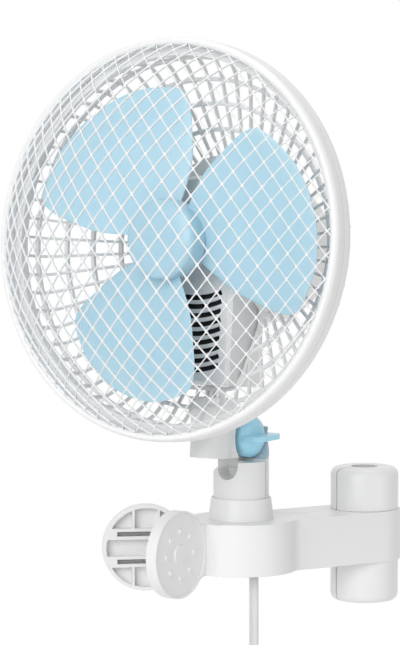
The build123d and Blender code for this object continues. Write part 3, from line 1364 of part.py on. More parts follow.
def on_coil(centre, radius, angle, across):
    """A point of the coil at an angle in the plane of the hanging cord."""
    return hung(centre[0] + radius * cos(radians(angle)), centre[1] + radius * sin(radians(angle)), across)


with BuildLine() as coil_line:
    Line(route_points[-1], hung(*lead_end))
    radius = coil_outer_radius
    angle = entry_angle
    centre = (lead_end[0] - radius * cos(radians(angle)), lead_end[1] - radius * sin(radians(angle)))
    coil_centre = centre
    for layer, way in ((0, -1), (1, 1)):
        across = layer * layer_pitch
        for k in range(layer_half_turns - layer):
            arc = ThreePointArc(
                on_coil(centre, radius, angle, across),
                on_coil(centre, radius, angle + 90, across),
                on_coil(centre, radius, angle + 180, across),
            )
            coil_marks.append(arc)
            angle += 180
            change = way * turn_pitch / 2
            centre = (centre[0] - change * cos(radians(angle)), centre[1] - change * sin(radians(angle)))
            radius += change
        if layer == 0:
            start = on_coil(centre, radius, angle, 0)
            stop = on_coil(centre, radius, angle + 180, layer_pitch)
            heading = on_coil(centre, radius, angle + 90, 0) - on_coil(centre, 0, 0, 0)
            outermost = (start + stop) / 2 + heading.normalized() * ((stop - start).length / 2)
            arc = ThreePointArc(start, outermost, stop)
            coil_marks.append(arc)
            angle += 180
            shift = turn_pitch / 2
            centre = (centre[0] - shift * cos(radians(angle)), centre[1] - shift * sin(radians(angle)))
            radius += turn_pitch / 2
    arc = ThreePointArc(
        on_coil(centre, radius, angle, layer_pitch),
        on_coil(centre, radius, angle + 45, layer_pitch),
        on_coil(centre, radius, angle + 90, layer_pitch),
    )
    coil_marks.append(arc)
    coil_end = arc @ 1
    end_heading = arc % 1
    Line(coil_end, coil_end + end_heading * plug_lead)
with BuildPart() as power_cord_coil:
    with BuildSketch(Plane(route_points[-1], x_dir=cord_side, z_dir=entry_heading)) as coil_section:
        Rectangle(cord_width, cord_thickness)
    sweep(coil_section.sketch, path=coil_line.wire())
save(power_cord_coil, "power_cord_coil")


def least_gap():
    """Smallest distance between the skins of turns that lie next to each other."""
    step = 3.0
    marks = []
    travelled = 0.0
    for arc in coil_marks:
        count = int(arc.length / step) + 1
        for k in range(count):
            marks.append((travelled + arc.length * k / count, arc @ (k / count)))
        travelled += arc.length
    least = 1000.0
    for i, (here, first) in enumerate(marks):
        for there, second in marks[i + 1:]:
            if there - here < 8 * cord_width:
                continue
            apart = second - first
            across = abs(apart.dot(DROP.z_dir)) - cord_width
            beside = sqrt(max(apart.length ** 2 - apart.dot(DROP.z_dir) ** 2, 0)) - cord_thickness
            least = min(least, max(across, beside))
    return least, travelled


gap, coil_length = least_gap()
drop_length = drop_line.wire().length
print("coil gap to itself", round(gap, 2), "coil", round(coil_length, 1), "drop", round(drop_length, 1))

# tie round the bundle, on the side away from the entry
tie_angle = 0.0
with BuildPart() as cord_tie:
    tie_middle = coil_outer_radius - turn_pitch * (layer_half_turns + 1) / 4
    tie_depth = turn_pitch * (layer_half_turns + 1) / 2 + cord_thickness + 2 * fit_gap
    tie_width = cord_width + layer_pitch + 2 * fit_gap
    tie_plane = Plane(hung(*coil_centre), x_dir=DROP.x_dir, z_dir=DROP.y_dir).offset(-tie_height / 2)
    with BuildSketch(tie_plane) as tie_outline:
        with Locations((tie_middle, -layer_pitch / 2)):
            RectangleRounded(tie_depth + 2 * tie_wall, tie_width + 2 * tie_wall, 2 * tie_wall)
            Rectangle(tie_depth, tie_width, mode=Mode.SUBTRACT)
    extrude(tie_outline.sketch, amount=tie_height)
save(cord_tie, "cord_tie")

# flat two-pin plug on the end
PLUG = Plane(coil_end + end_heading * plug_lead, x_dir=cord_side, z_dir=end_heading)


def cornered(plane, width, thickness):
    """A rectangle with its corners cut off."""
    with BuildSketch(plane) as outline:
        Rectangle(width, thickness)
        chamfer(outline.vertices(), thickness * plug_corner)
    return outline.sketch


with BuildPart() as mains_plug:
    plug_tail = cornered(PLUG, cord_width + plug_sleeve, cord_thickness + plug_sleeve)
    plug_neck = cornered(PLUG.offset(plug_tail_length), plug_width * 0.6, plug_thickness * 0.7)
    plug_shoulder = cornered(PLUG.offset(2 * plug_tail_length), plug_width, plug_thickness)
    loft(sections=[plug_tail, plug_neck, plug_shoulder], ruled=True)
    extrude(plug_shoulder, amount=plug_body)
    pin_face = PLUG.offset(2 * plug_tail_length + plug_body)
    with BuildSketch(pin_face) as pin_slots:
        with GridLocations(pin_spacing, 0, 2, 1):
            Rectangle(blade_pin_thickness + 2 * seat_gap, blade_pin_width + 2 * seat_gap)
    extrude(pin_slots.sketch, amount=-pin_root, mode=Mode.SUBTRACT)
save(mains_plug, "mains_plug")

with BuildPart() as plug_pins:
    with BuildSketch(pin_face.offset(seat_gap - pin_root)) as pins:
        with GridLocations(pin_spacing, 0, 2, 1):
            Rectangle(blade_pin_thickness, blade_pin_width)
    extrude(pins.sketch, amount=pin_root + blade_pin_length)
save(plug_pins, "plug_pins")
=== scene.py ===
import json
import math
from functools import wraps

import bmesh
import bpy
import numpy as np
from bpy.props import FloatProperty, FloatVectorProperty, IntProperty, PointerProperty
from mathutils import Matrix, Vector

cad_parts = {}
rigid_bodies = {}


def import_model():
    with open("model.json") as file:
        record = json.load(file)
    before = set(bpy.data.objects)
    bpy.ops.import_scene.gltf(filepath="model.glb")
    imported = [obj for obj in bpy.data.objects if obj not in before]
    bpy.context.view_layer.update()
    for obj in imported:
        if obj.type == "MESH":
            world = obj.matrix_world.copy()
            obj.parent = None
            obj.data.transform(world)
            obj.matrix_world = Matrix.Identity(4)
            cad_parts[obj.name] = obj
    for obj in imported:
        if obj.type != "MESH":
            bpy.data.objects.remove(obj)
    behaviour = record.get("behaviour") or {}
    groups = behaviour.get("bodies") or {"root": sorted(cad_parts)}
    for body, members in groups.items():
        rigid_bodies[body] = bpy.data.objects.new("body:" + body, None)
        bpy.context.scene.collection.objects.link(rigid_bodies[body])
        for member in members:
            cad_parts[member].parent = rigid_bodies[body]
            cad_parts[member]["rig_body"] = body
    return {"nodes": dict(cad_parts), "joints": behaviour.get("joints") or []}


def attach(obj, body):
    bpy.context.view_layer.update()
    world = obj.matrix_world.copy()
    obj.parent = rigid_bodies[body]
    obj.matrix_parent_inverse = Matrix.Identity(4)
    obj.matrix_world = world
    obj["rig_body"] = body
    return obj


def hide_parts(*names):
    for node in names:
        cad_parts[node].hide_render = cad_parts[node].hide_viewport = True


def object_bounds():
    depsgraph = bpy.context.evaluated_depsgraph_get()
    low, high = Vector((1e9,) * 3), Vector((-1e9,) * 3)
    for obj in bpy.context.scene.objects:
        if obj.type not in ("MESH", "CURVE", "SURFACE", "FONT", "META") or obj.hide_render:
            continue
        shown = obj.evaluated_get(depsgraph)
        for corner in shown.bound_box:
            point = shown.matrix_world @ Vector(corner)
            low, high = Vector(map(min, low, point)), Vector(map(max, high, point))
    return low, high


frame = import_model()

bl_info = {
    "name": "Clip fan",
    "version": (1, 0, 0),
    "blender": (4, 5, 0),
    "location": "View3D > Sidebar > Clip fan",
    "description": "Dresses the packed clip fan: guards, propeller, housings, clip, cord and studio",
    "category": "Object",
}

MM = 0.001
cad_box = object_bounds()


# ---------------------------------------------------------------- places on the fan
def unit(vectors):
    """The same direction, one long, for a vector or for rows of them."""
    vectors = np.asarray(vectors, float)
    return vectors / np.linalg.norm(vectors, axis=-1, keepdims=True)


def joint(name):
    """Centre and axis of a joint of the frame."""
    found = next(j for j in frame["joints"] if j["name"] == name)
    return np.array(found.get("pos_m", (0, 0, 0)), float), unit(found["axis"])


class Place:
    """A point with three directions. Millimetres go in and metres of the frame come out."""

    def __init__(self, origin, across, up, out):
        self.origin = np.asarray(origin, float)
        self.axes = np.array([across, up, out], float)

    def put(self, points):
        """Where points of this place lie in the frame."""
        return self.origin + np.asarray(points, float) * MM @ self.axes


hub_centre, _ = joint("neck_turn")
tilt_centre, side = joint("head_tilt")
_, upright = joint("oscillation")
motor_centre, nose = joint("propeller_spin")
level_up = np.array((0.0, 0.0, 1.0))
ahead = np.cross(level_up, side) * -1
WORLD = Place((0, 0, 0), (1, 0, 0), (0, 1, 0), (0, 0, 1))
HEAD = Place(motor_centre, side, upright, nose)         # x to the side, y up, z ahead, from the guard ring
KNOB = Place(tilt_centre, nose, -upright, side)         # z out along the tilt axis


# ---------------------------------------------------------------- settings
def length_setting(name, description, default, low, high):
    """A length that a user can change, from its millimetres."""
    return FloatProperty(
        name=name, description=description, default=default * MM, min=low * MM, max=high * MM,
        unit="LENGTH", subtype="DISTANCE", precision=4,
    )


def colour_setting(name, description, default):
    """A colour that a user can change, as linear light."""
    return FloatVectorProperty(
        name=name, description=description, default=default, subtype="COLOR", min=0, max=1,
    )


def power_setting(name, description, default):
    """The power of a lamp."""
    return FloatProperty(name=name, description=description, default=default, min=0, unit="POWER")


class GuardSettings(bpy.types.PropertyGroup):
    """Sizes of the two guards."""

    net_across: length_setting("Net pitch across", "Width of one diamond of the net", 12.7, 8, 30)
    net_up: length_setting("Net pitch up", "Height of one diamond of the net", 15.2, 8, 30)
    strand_width: length_setting("Strand width", "Width of the strands of the net", 0.85, 0.6, 3)
    strand_depth: length_setting("Strand depth", "Depth of the strands of the net", 1.7, 0.6, 3)
    rib_count: IntProperty(name="Rear ribs", description="Ribs of the rear guard", default=60, min=24, max=90)
    rib_width: length_setting("Rib width", "Width of a rear rib", 1.5, 0.8, 3)


class ColourSettings(bpy.types.PropertyGroup):
    """Colours of the finishes, as linear light."""

    housing: colour_setting("Housing", "Satin plastic of clip, neck and motor covers", (0.80, 0.80, 0.80))
    guard: colour_setting("Guard", "Plastic of the guards", (0.82, 0.82, 0.82))
    pads: colour_setting("Pads", "Smooth plastic of the jaw pads", (0.81, 0.81, 0.81))
    blades: colour_setting("Propeller", "Pale blue plastic of the propeller", (0.43, 0.655, 0.775))
    knob: colour_setting("Tilt knob", "Blue plastic of the tilt knob", (0.41, 0.77, 0.94))
    cord: colour_setting("Cord", "Soft white plastic of cord and plug", (0.64, 0.64, 0.645))


class StudioSettings(bpy.types.PropertyGroup):
    """Camera, lamps and floor."""

    camera_place: FloatVectorProperty(
        name="Camera", description="Place of the camera", default=(-0.96147, -1.39084, 0.24166),
        subtype="TRANSLATION", unit="LENGTH",
    )
    camera_sight: FloatVectorProperty(
        name="Sight", description="Direction the camera looks in", default=(0.51866, 0.85223, -0.06844),
        subtype="DIRECTION",
    )
    lens: FloatProperty(
        name="Lens", description="Focal length of the camera, millimetres", default=158.7, min=20, max=300,
    )
    key_power: power_setting("Key lamp", "Power of the large lamp at the upper left", 23.0)
    fill_power: power_setting("Fill lamp", "Power of the lamp at the right", 5.0)
    top_power: power_setting("Top lamp", "Power of the lamp overhead", 8.0)
    room_light: FloatProperty(
        name="Room light", description="Strength of the even light all round", default=0.42, min=0, max=2,
    )
    floor_drop: length_setting("Floor drop", "Gap between the part and the floor", 60, 0, 500)


def guard():
    """The guard settings."""
    return bpy.context.scene.clipfan_guard


def colours():
    """The colour settings."""
    return bpy.context.scene.clipfan_colours


def studio():
    """The studio settings."""
    return bpy.context.scene.clipfan_studio


# ---------------------------------------------------------------- shader tools
class Signal:
    """An output of a shader node. Sums and products of signals add the Math nodes for them."""

    def __init__(self, tree, output):
        self.tree = tree
        self.output = output

    def worked(self, operation, *values):
        """A Math node on signals or numbers."""
        return self.tree.node("ShaderNodeMath", {"operation": operation}, dict(enumerate(values)))

    def __add__(self, other):
        return self.worked("ADD", self, other)

    def __sub__(self, other):
        return self.worked("SUBTRACT", self, other)

    def __rsub__(self, other):
        return self.worked("SUBTRACT", other, self)

    def __mul__(self, other):
        return self.worked("MULTIPLY", self, other)

    def __truediv__(self, other):
        return self.worked("DIVIDE", self, other)

    def __pow__(self, other):
        return self.worked("POWER", self, other)

    __radd__ = __add__
    __rmul__ = __mul__

    def limited(self):
        """Kept between 0 and 1."""
        return self.tree.node("ShaderNodeClamp", {}, {"Value": self})

    def waves(self, pitch):
        """A sine of a distance, with a pitch in metres."""
        return self.worked("SINE", self * (2 * math.pi / pitch))


class Tree:
    """The node tree of one material or of the world."""

    def __init__(self, nodes_of):
        nodes_of.use_nodes = True
        self.made = nodes_of.node_tree
        self.made.nodes.clear()

    def node(self, kind, settings=None, inputs=None, output=0):
        """A node with its settings, then its sockets, as values or signals."""
        made = self.made.nodes.new(kind)
        for key, value in (settings or {}).items():
            setattr(made, key, value)
        for key, value in (inputs or {}).items():
            if isinstance(value, Signal):
                self.made.links.new(value.output, made.inputs[key])
            else:
                made.inputs[key].default_value = value
        return Signal(self, made.outputs[output]) if made.outputs else None

    def place(self):
        """Where the shaded point is in the frame, in metres."""
        return self.node("ShaderNodeTexCoord", output="Object")

    def noise(self, size, detail=2.0, roughness=0.5, distortion=0.0, where=None):
        """Cloudy noise with features of a size in metres."""
        inputs = {"Vector": where or self.place(), "Scale": 1 / size, "Detail": detail}
        inputs.update(Roughness=roughness, Distortion=distortion)
        return self.node("ShaderNodeTexNoise", {}, inputs)

    def tinted(self, factor, first, second):
        """Two colours mixed by a factor."""
        inputs = {0: factor, 6: self.full(first), 7: self.full(second)}
        return self.node("ShaderNodeMix", {"data_type": "RGBA"}, inputs, 2)

    def full(self, colour):
        """A colour with its alpha, or a signal as it is."""
        return colour if isinstance(colour, Signal) else (*colour[:3], 1.0)

    def vector(self, operation, inputs, output="Vector"):
        """A Vector Math node. DOT_PRODUCT and LENGTH give their Value."""
        return self.node("ShaderNodeVectorMath", {"operation": operation}, inputs, output)

    def length(self, vector):
        """How long a vector is."""
        return self.vector("LENGTH", {0: vector}, "Value")

    def along(self, direction):
        """Distance along a direction of the frame, in metres."""
        return self.vector("DOT_PRODUCT", {0: self.place(), 1: tuple(direction)}, "Value")

    def from_axis(self, centre, direction):
        """Distance from an axis, in metres."""
        away = self.vector("SUBTRACT", {0: self.place(), 1: tuple(centre)})
        level = self.vector("DOT_PRODUCT", {0: away, 1: tuple(direction)}, "Value")
        length = self.length(away)
        return (length * length - level * level) ** 0.5

    def relief(self, height):
        """A normal with bumps of a height, in metres."""
        return self.node("ShaderNodeBump", {}, {"Strength": 1.0, "Distance": 1.0, "Height": height})


def finish(paint):
    """Turn a function that gives values or signals for Principled sockets into one that makes a material."""

    @wraps(paint)
    def make(name, *values, **more):
        material = bpy.data.materials.new(name)
        tree = Tree(material)
        shader = tree.node("ShaderNodeBsdfPrincipled", {}, paint(tree, *values, **more))
        tree.node("ShaderNodeOutputMaterial", {}, {"Surface": shader})
        return material

    return make


def darker(colour, share):
    """A colour times a share."""
    return tuple(c * share for c in colour[:3])


def metal(tree, factor, first, second, roughness, height, metallic=1.0):
    """Sockets of a metal between two colours."""
    return {
        "Base Color": tree.tinted(factor, first, second),
        "Metallic": metallic,
        "Roughness": roughness.limited(),
        "Normal": tree.relief(height),
    }


# ---------------------------------------------------------------- finishes
@finish
def moulded(tree, colour, roughness, peel, grain=0.0, flow=0.03, coat=0.0):
    """Moulded plastic: faint flow clouds, orange peel and, where grain is set, a fine spark texture."""
    clouds = tree.noise(38 * MM, 3.0, 0.55, 0.6)
    streaks = tree.noise(9 * MM, 2.0, 0.6, 1.2)
    tone = clouds * 0.7 + streaks * 0.3
    skin = tree.noise(2.6 * MM, 1.0, 0.4)
    sparks = tree.noise(0.35 * MM, 1.0, 0.5)
    dull = roughness + (streaks - 0.5) * 0.05 + (skin - 0.5) * 0.03
    return {
        "Base Color": tree.tinted(tone, darker(colour, 1 - flow), darker(colour, 1 + flow)),
        "Roughness": dull.limited(),
        "IOR": 1.47,
        "Coat Weight": coat,
        "Coat Roughness": 0.12,
        "Normal": tree.relief(skin * peel + sparks * grain),
    }


@finish
def blade_plastic(tree, colour):
    """Pale tinted plastic of the blades, lighter towards the tips and darker towards the root."""
    radius = tree.from_axis(motor_centre, nose)
    rim = ((radius - 78 * MM) / (14 * MM)).limited()
    root = (1 - (radius - 24 * MM) / (16 * MM)).limited()
    clouds = tree.noise(26 * MM, 3.0, 0.55, 0.8)
    base = tree.tinted(rim * 0.55 + clouds * 0.12, colour, (0.52, 0.74, 0.85))
    return {
        "Base Color": tree.tinted(root * 0.25, base, darker(colour, 0.86)),
        "Roughness": (0.34 + (clouds - 0.5) * 0.12).limited(),
        "IOR": 1.48,
        "Subsurface Weight": 0.12,
        "Subsurface Radius": (0.004, 0.006, 0.008),
        "Subsurface Scale": 0.5,
        "Coat Weight": 0.10,
        "Coat Roughness": 0.10,
        "Normal": tree.relief(tree.noise(3.4 * MM, 1.0, 0.4) * 0.00002),
    }


@finish
def drawn_metal(tree, colour, roughness, direction):
    """Drawn wire: fine lines along a direction and a faint stain."""
    axis = tuple(unit(direction))
    stretch = tree.vector("SCALE", {0: axis, "Scale": tree.along(axis) * 0.96})
    squeezed = tree.vector("SUBTRACT", {0: tree.place(), 1: stretch})
    lines = tree.noise(0.25 * MM, 2.0, 0.6, 0.0, squeezed)
    patches = tree.noise(7 * MM, 3.0, 0.6, 0.4)
    dull = roughness + (lines - 0.5) * 0.22 + (patches - 0.5) * 0.10
    return metal(tree, patches, darker(colour, 0.92), darker(colour, 1.08), dull, lines * 0.00001)


@finish
def ringed_metal(tree, colour, roughness, direction, pitch):
    """Turned metal: fine rings square to a direction."""
    rings = tree.along(direction).waves(pitch)
    patches = tree.noise(4 * MM, 3.0, 0.6)
    dull = roughness + rings * 0.05 + (patches - 0.5) * 0.12
    return metal(tree, patches, darker(colour, 0.9), colour, dull, rings * 0.000008)


@finish
def plated_screw(tree, colour):
    """Zinc plating with a faint yellow and blue bloom."""
    bloom = tree.noise(2.2 * MM, 3.0, 0.6, 0.5)
    warm = (colour[0] * 1.05, colour[1], colour[2] * 0.86)
    dull = 0.30 + (bloom - 0.5) * 0.25
    return metal(tree, bloom, darker(colour, 0.9), warm, dull, tree.noise(0.3 * MM) * 0.00001)


@finish
def stacked_steel(tree):
    """Motor laminations: thin dark sheets stacked along the motor axis."""
    sheets = tree.along(nose).waves(0.6 * MM)
    patches = tree.noise(5 * MM, 3.0, 0.6)
    dark, light = (0.10, 0.10, 0.11), (0.24, 0.24, 0.25)
    return metal(tree, patches, dark, light, 0.5 + sheets * 0.08, sheets * 0.00006, 0.85)


@finish
def wound_copper(tree):
    """Enamelled copper wire laid turn beside turn."""
    wires = tree.from_axis(motor_centre, nose).waves(0.55 * MM)
    patches = tree.noise(3 * MM, 3.0, 0.6)
    dark, light = (0.36, 0.11, 0.04), (0.62, 0.24, 0.09)
    return metal(tree, patches, dark, light, 0.34 - wires * 0.08, wires * 0.00008)


@finish
def spangled_zinc(tree):
    """Galvanised sheet with its crystals."""
    cells = {"Vector": tree.place(), "Scale": 1 / (3.2 * MM)}
    crystals = tree.node("ShaderNodeTexVoronoi", {}, cells, "Color")
    shade = tree.node("ShaderNodeSeparateColor", {}, {0: crystals})
    dark, light = (0.46, 0.47, 0.49), (0.68, 0.69, 0.71)
    return metal(tree, shade, dark, light, 0.32 + shade * 0.2, tree.noise(0.8 * MM) * 0.00002)


@finish
def dark_gauze(tree, pitch):
    """Painted shade: a fine near-black mesh behind the vents that stands in for the shade inside the motor
    cover.
    """
    threads = (tree.along(side).waves(pitch) * tree.along(upright).waves(pitch) * 0.5 + 0.5).limited()
    return {
        "Base Color": tree.tinted(threads, (0.006, 0.006, 0.007), (0.022, 0.022, 0.024)),
        "Roughness": (0.8 - threads * 0.15).limited(),
        "Normal": tree.relief(threads * 0.0001),
    }


FINISHES = {}


def make_finishes():
    """Every finish of the fan, by name."""
    tint = colours()
    FINISHES.update(
        housing=moulded("housing_white", tint.housing, 0.34, 0.00002, 0.000002, coat=0.10),
        guard=moulded("guard_white", tint.guard, 0.36, 0.00001, coat=0.10),
        pads=moulded("pad_white", tint.pads, 0.31, 0.00002, 0.000002, flow=0.02, coat=0.12),
        blades=blade_plastic("blade_blue", tint.blades),
        knob=moulded("knob_blue", tint.knob, 0.28, 0.00001, flow=0.05, coat=0.20),
        dial=moulded("dial_grey", (0.66, 0.67, 0.69), 0.45, 0.00001, 0.000006),
        gear=moulded("gear_nylon", (0.70, 0.69, 0.64), 0.4, 0.00001),
        cord=moulded("cord_white", tint.cord, 0.42, 0.00002, flow=0.04),
        tie=moulded("tie_grey", (0.62, 0.63, 0.65), 0.40, 0.00001),
        spring=drawn_metal("spring_wire", (0.50, 0.50, 0.52), 0.30, (-1, 0, 0)),
        pin=ringed_metal("pivot_steel", (0.60, 0.61, 0.63), 0.26, level_up, 0.3 * MM),
        shaft=ringed_metal("shaft_steel", (0.62, 0.63, 0.65), 0.22, nose, 0.25 * MM),
        stem=ringed_metal("stem_steel", (0.60, 0.61, 0.63), 0.28, upright, 0.3 * MM),
        bolt=ringed_metal("bolt_steel", (0.58, 0.59, 0.61), 0.30, side, 0.4 * MM),
        screws=plated_screw("screw_zinc", (0.62, 0.62, 0.62)),
        brass=ringed_metal("turned_brass", (0.78, 0.58, 0.26), 0.28, nose, 0.3 * MM),
        core=stacked_steel("core_sheets"),
        copper=wound_copper("coil_wire"),
        zinc=spangled_zinc("bracket_zinc"),
        # painted shade: a near-black gauze that darkens the vents
        gauze=dark_gauze("vent_gauze", 0.7 * MM),
    )


# ---------------------------------------------------------------- mesh tools
def polar(radius, angle, level=0.0):
    """A point at a radius and an angle about z."""
    return np.array((radius * math.cos(angle), radius * math.sin(angle), level))


def box(left, right, low, high):
    """The four corners of a rectangle."""
    return [(left, low), (right, low), (right, high), (left, high)]


class Shape:
    """Vertices in millimetres of a place, and faces, of one piece."""

    def __init__(self):
        self.points = []
        self.faces = []

    def add(self, points, faces):
        """More vertices with the faces between them."""
        start = len(self.points)
        self.points += [tuple(p) for p in points]
        self.faces += [tuple(start + k for k in face) for face in faces]

    def stack(self, rows, ring=False, around=True):
        """Join rows of points by quads. ring joins the last row to the first and around closes each row.

        A stack of closed rows that isn't a ring gets a face at each end.
        """
        count = len(rows[0])
        faces = []
        for k in range(len(rows) if ring else len(rows) - 1):
            here, there = k * count, (k + 1) % len(rows) * count
            for i in range(count if around else count - 1):
                j = (i + 1) % count
                faces.append((here + i, there + i, there + j, here + j))
        if around and not ring:
            faces.append(tuple(range(count)))
            faces.append(tuple(range(len(rows) * count - 1, len(rows) * count - count - 1, -1)))
        self.add([point for row in rows for point in row], faces)

    def lathe(self, profile, steps, closed=True, start=None):
        """Turn a profile of (radius, level) about z.

        start gives the angle at which a radius begins, and it ends at the mirrored angle across the y axis.
        """
        rows = []
        for k in range(steps + 1 if start else steps):
            row = []
            for radius, level in profile:
                first = start(radius) if start else 0.0
                last = math.pi - first if start else 2 * math.pi
                row.append(polar(radius, first + (last - first) * k / steps, level))
            rows.append(row)
        self.stack(rows, ring=not start, around=closed)

    def sweep(self, path, section, across):
        """Carry a section of (x, y) along a path. across is the direction of its x."""
        path = np.asarray(path, float)
        section = np.asarray(section, float)
        tangent = unit(np.gradient(path, axis=0))
        across = np.broadcast_to(across, path.shape)
        across = unit(across - tangent * (across * tangent).sum(1)[:, None])
        upward = np.cross(tangent, across)
        self.stack([spot + section @ (x, y) for spot, x, y in zip(path, across, upward)])


def rounded(corners, radius, closed=True, steps=4):
    """An outline or path with its corners eased. radius is one length or one for each corner."""
    corners = [np.asarray(c, float) for c in corners]
    count = len(corners)
    eased = []
    for k, corner in enumerate(corners):
        ease = radius[k] if isinstance(radius, (list, tuple)) else radius
        if ease == 0 or (not closed and k in (0, count - 1)):
            eased.append(corner)
            continue
        before, after = corners[k - 1] - corner, corners[(k + 1) % count] - corner
        start = corner + before * min(ease / np.linalg.norm(before), 0.48)
        stop = corner + after * min(ease / np.linalg.norm(after), 0.48)
        for t in np.linspace(0, 1, steps + 1):
            eased.append(start * (1 - t) ** 2 + corner * 2 * t * (1 - t) + stop * t ** 2)
    return eased


def new_object(name, data):
    """An object with its data, in the scene."""
    made = bpy.data.objects.new(name, data)
    bpy.context.scene.collection.objects.link(made)
    return made


def dress(piece, finish_name, body, replaces=(), sharp=38):
    """Give a piece its finish, its body and the nodes it stands for."""
    piece.data.materials.clear()
    piece.data.materials.append(FINISHES[finish_name])
    piece.data.shade_smooth()
    piece.data.set_sharp_from_angle(angle=math.radians(sharp))
    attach(piece, body)
    if replaces:
        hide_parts(*replaces)
    return piece


def add_piece(name, shape, place, finish_name, body, replaces=(), sharp=38):
    """A mesh piece from a shape, with doubled vertices merged and its faces turned outwards."""
    mesh = bpy.data.meshes.new(name)
    mesh.from_pydata(place.put(shape.points).tolist(), [], shape.faces)
    work = bmesh.new()
    work.from_mesh(mesh)
    bmesh.ops.remove_doubles(work, verts=work.verts, dist=1e-7)
    bmesh.ops.dissolve_degenerate(work, edges=work.edges, dist=1e-7)
    bmesh.ops.recalc_face_normals(work, faces=work.faces)
    work.to_mesh(mesh)
    work.free()
    return dress(new_object(name, mesh), finish_name, body, replaces, sharp)


def modify(piece, kind, **settings):
    """Add a modifier with its settings."""
    modifier = piece.modifiers.new(kind.lower(), kind)
    for key, value in settings.items():
        setattr(modifier, key, value)


mould_angle = 32                # degrees: edges sharper than this are eased
shortest_eased = 1.0            # shorter edges belong to details too small to ease


def soften(node, finish_name, edge, flatten=True, reshape=None):
    """A copy of a node with its edges rounded as a mould leaves them.

    flatten joins the triangles of flat faces, where these have no holes. reshape moves a point.
    """
    source = frame["nodes"][node]
    mesh = source.data.copy()
    mesh.name = node + "_moulded"
    mesh.attributes.remove(mesh.attributes["custom_normal"])
    work = bmesh.new()
    work.from_mesh(mesh)
    bmesh.ops.remove_doubles(work, verts=work.verts, dist=2e-6)
    bmesh.ops.dissolve_degenerate(work, edges=work.edges, dist=1e-6)
    if flatten:
        bmesh.ops.dissolve_limit(work, angle_limit=math.radians(0.4), verts=work.verts, edges=work.edges)
    for vertex in work.verts if reshape else ():
        vertex.co = reshape(np.array(vertex.co))
    weight = work.edges.layers.float.new("bevel_weight_edge")
    for line in work.edges:
        edged = line.is_convex and line.calc_face_angle(0) > math.radians(mould_angle)
        line[weight] = float(edged and line.calc_length() > shortest_eased * MM)
    work.to_mesh(mesh)
    work.free()
    piece = dress(new_object(mesh.name, mesh), finish_name, source["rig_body"], (node,), mould_angle)
    modify(
        piece, "BEVEL", width=edge * MM, segments=2, limit_method="WEIGHT", use_clamp_overlap=False,
        harden_normals=True, miter_outer="MITER_ARC",
    )
    return piece


def finish_node(node, finish_name):
    """Give a carried-over node a finish."""
    for slot in frame["nodes"][node].material_slots:
        slot.link = "OBJECT"
        slot.material = FINISHES[finish_name]


# ---------------------------------------------------------------- guards, in millimetres of HEAD
ring_radius, ring_inner = 112.5, 106.5
ring_front, ring_split, ring_back = 2.0, -6.5, -13.5
lip_inset = 1.4                 # from the ring's inner edge to the rolled lip
dome_edge, dome_depth = 109.5, 34.0
dome_fullness, dome_shoulder = 2.5, 0.66        # flatter in the middle, steeper at the rim
net_crowding = 1.0              # slope of the net at its rim, as an angle: more gives smaller diamonds there
net_margin = 0.2                # from the dome's edge to the last faces of the net
strand_stations = (0.0, 0.16, 0.4, 0.6, 0.84, 1.0)      # shares of the side of an opening
bend_radius, bend_level = 104.3, -31.0
bend_ease = 15.0
plate_radius, plate_level, plate_depth = 52.0, -61.0, 3.0
plate_opening = 38.6
bar_half = (1.2, 1.3)           # half width and half depth of a hoop
hoop_radii = (66.0, 80.0, 93.0)
bend_hoop = (-0.4, 7.0)         # the last hoop, from the middle of the bend
rear_rim_radius = 103.0
chin_half, chin_bottom = 25.5, -80.0
chin_room = 0.6
chin_corner = 10.0
chin_reach = -chin_bottom + 3.0         # hoops within this radius are open at the chin
chin_frame_top = 50.0           # radius at which the frame round the chin begins
frame_step = 4.0


def dome_level(radius):
    """Height of the dome over the ring plane."""
    share = min(radius / dome_edge, 1.0)
    return dome_depth * (1 - share ** dome_fullness) ** dome_shoulder


def drawn_in(radius):
    """Share by which a place of the even net is drawn in: the diamonds get smaller towards the ring."""
    spread = dome_edge / math.sin(net_crowding)
    return spread * math.sin(min(radius / spread, math.pi / 2)) / max(radius, 1e-6)


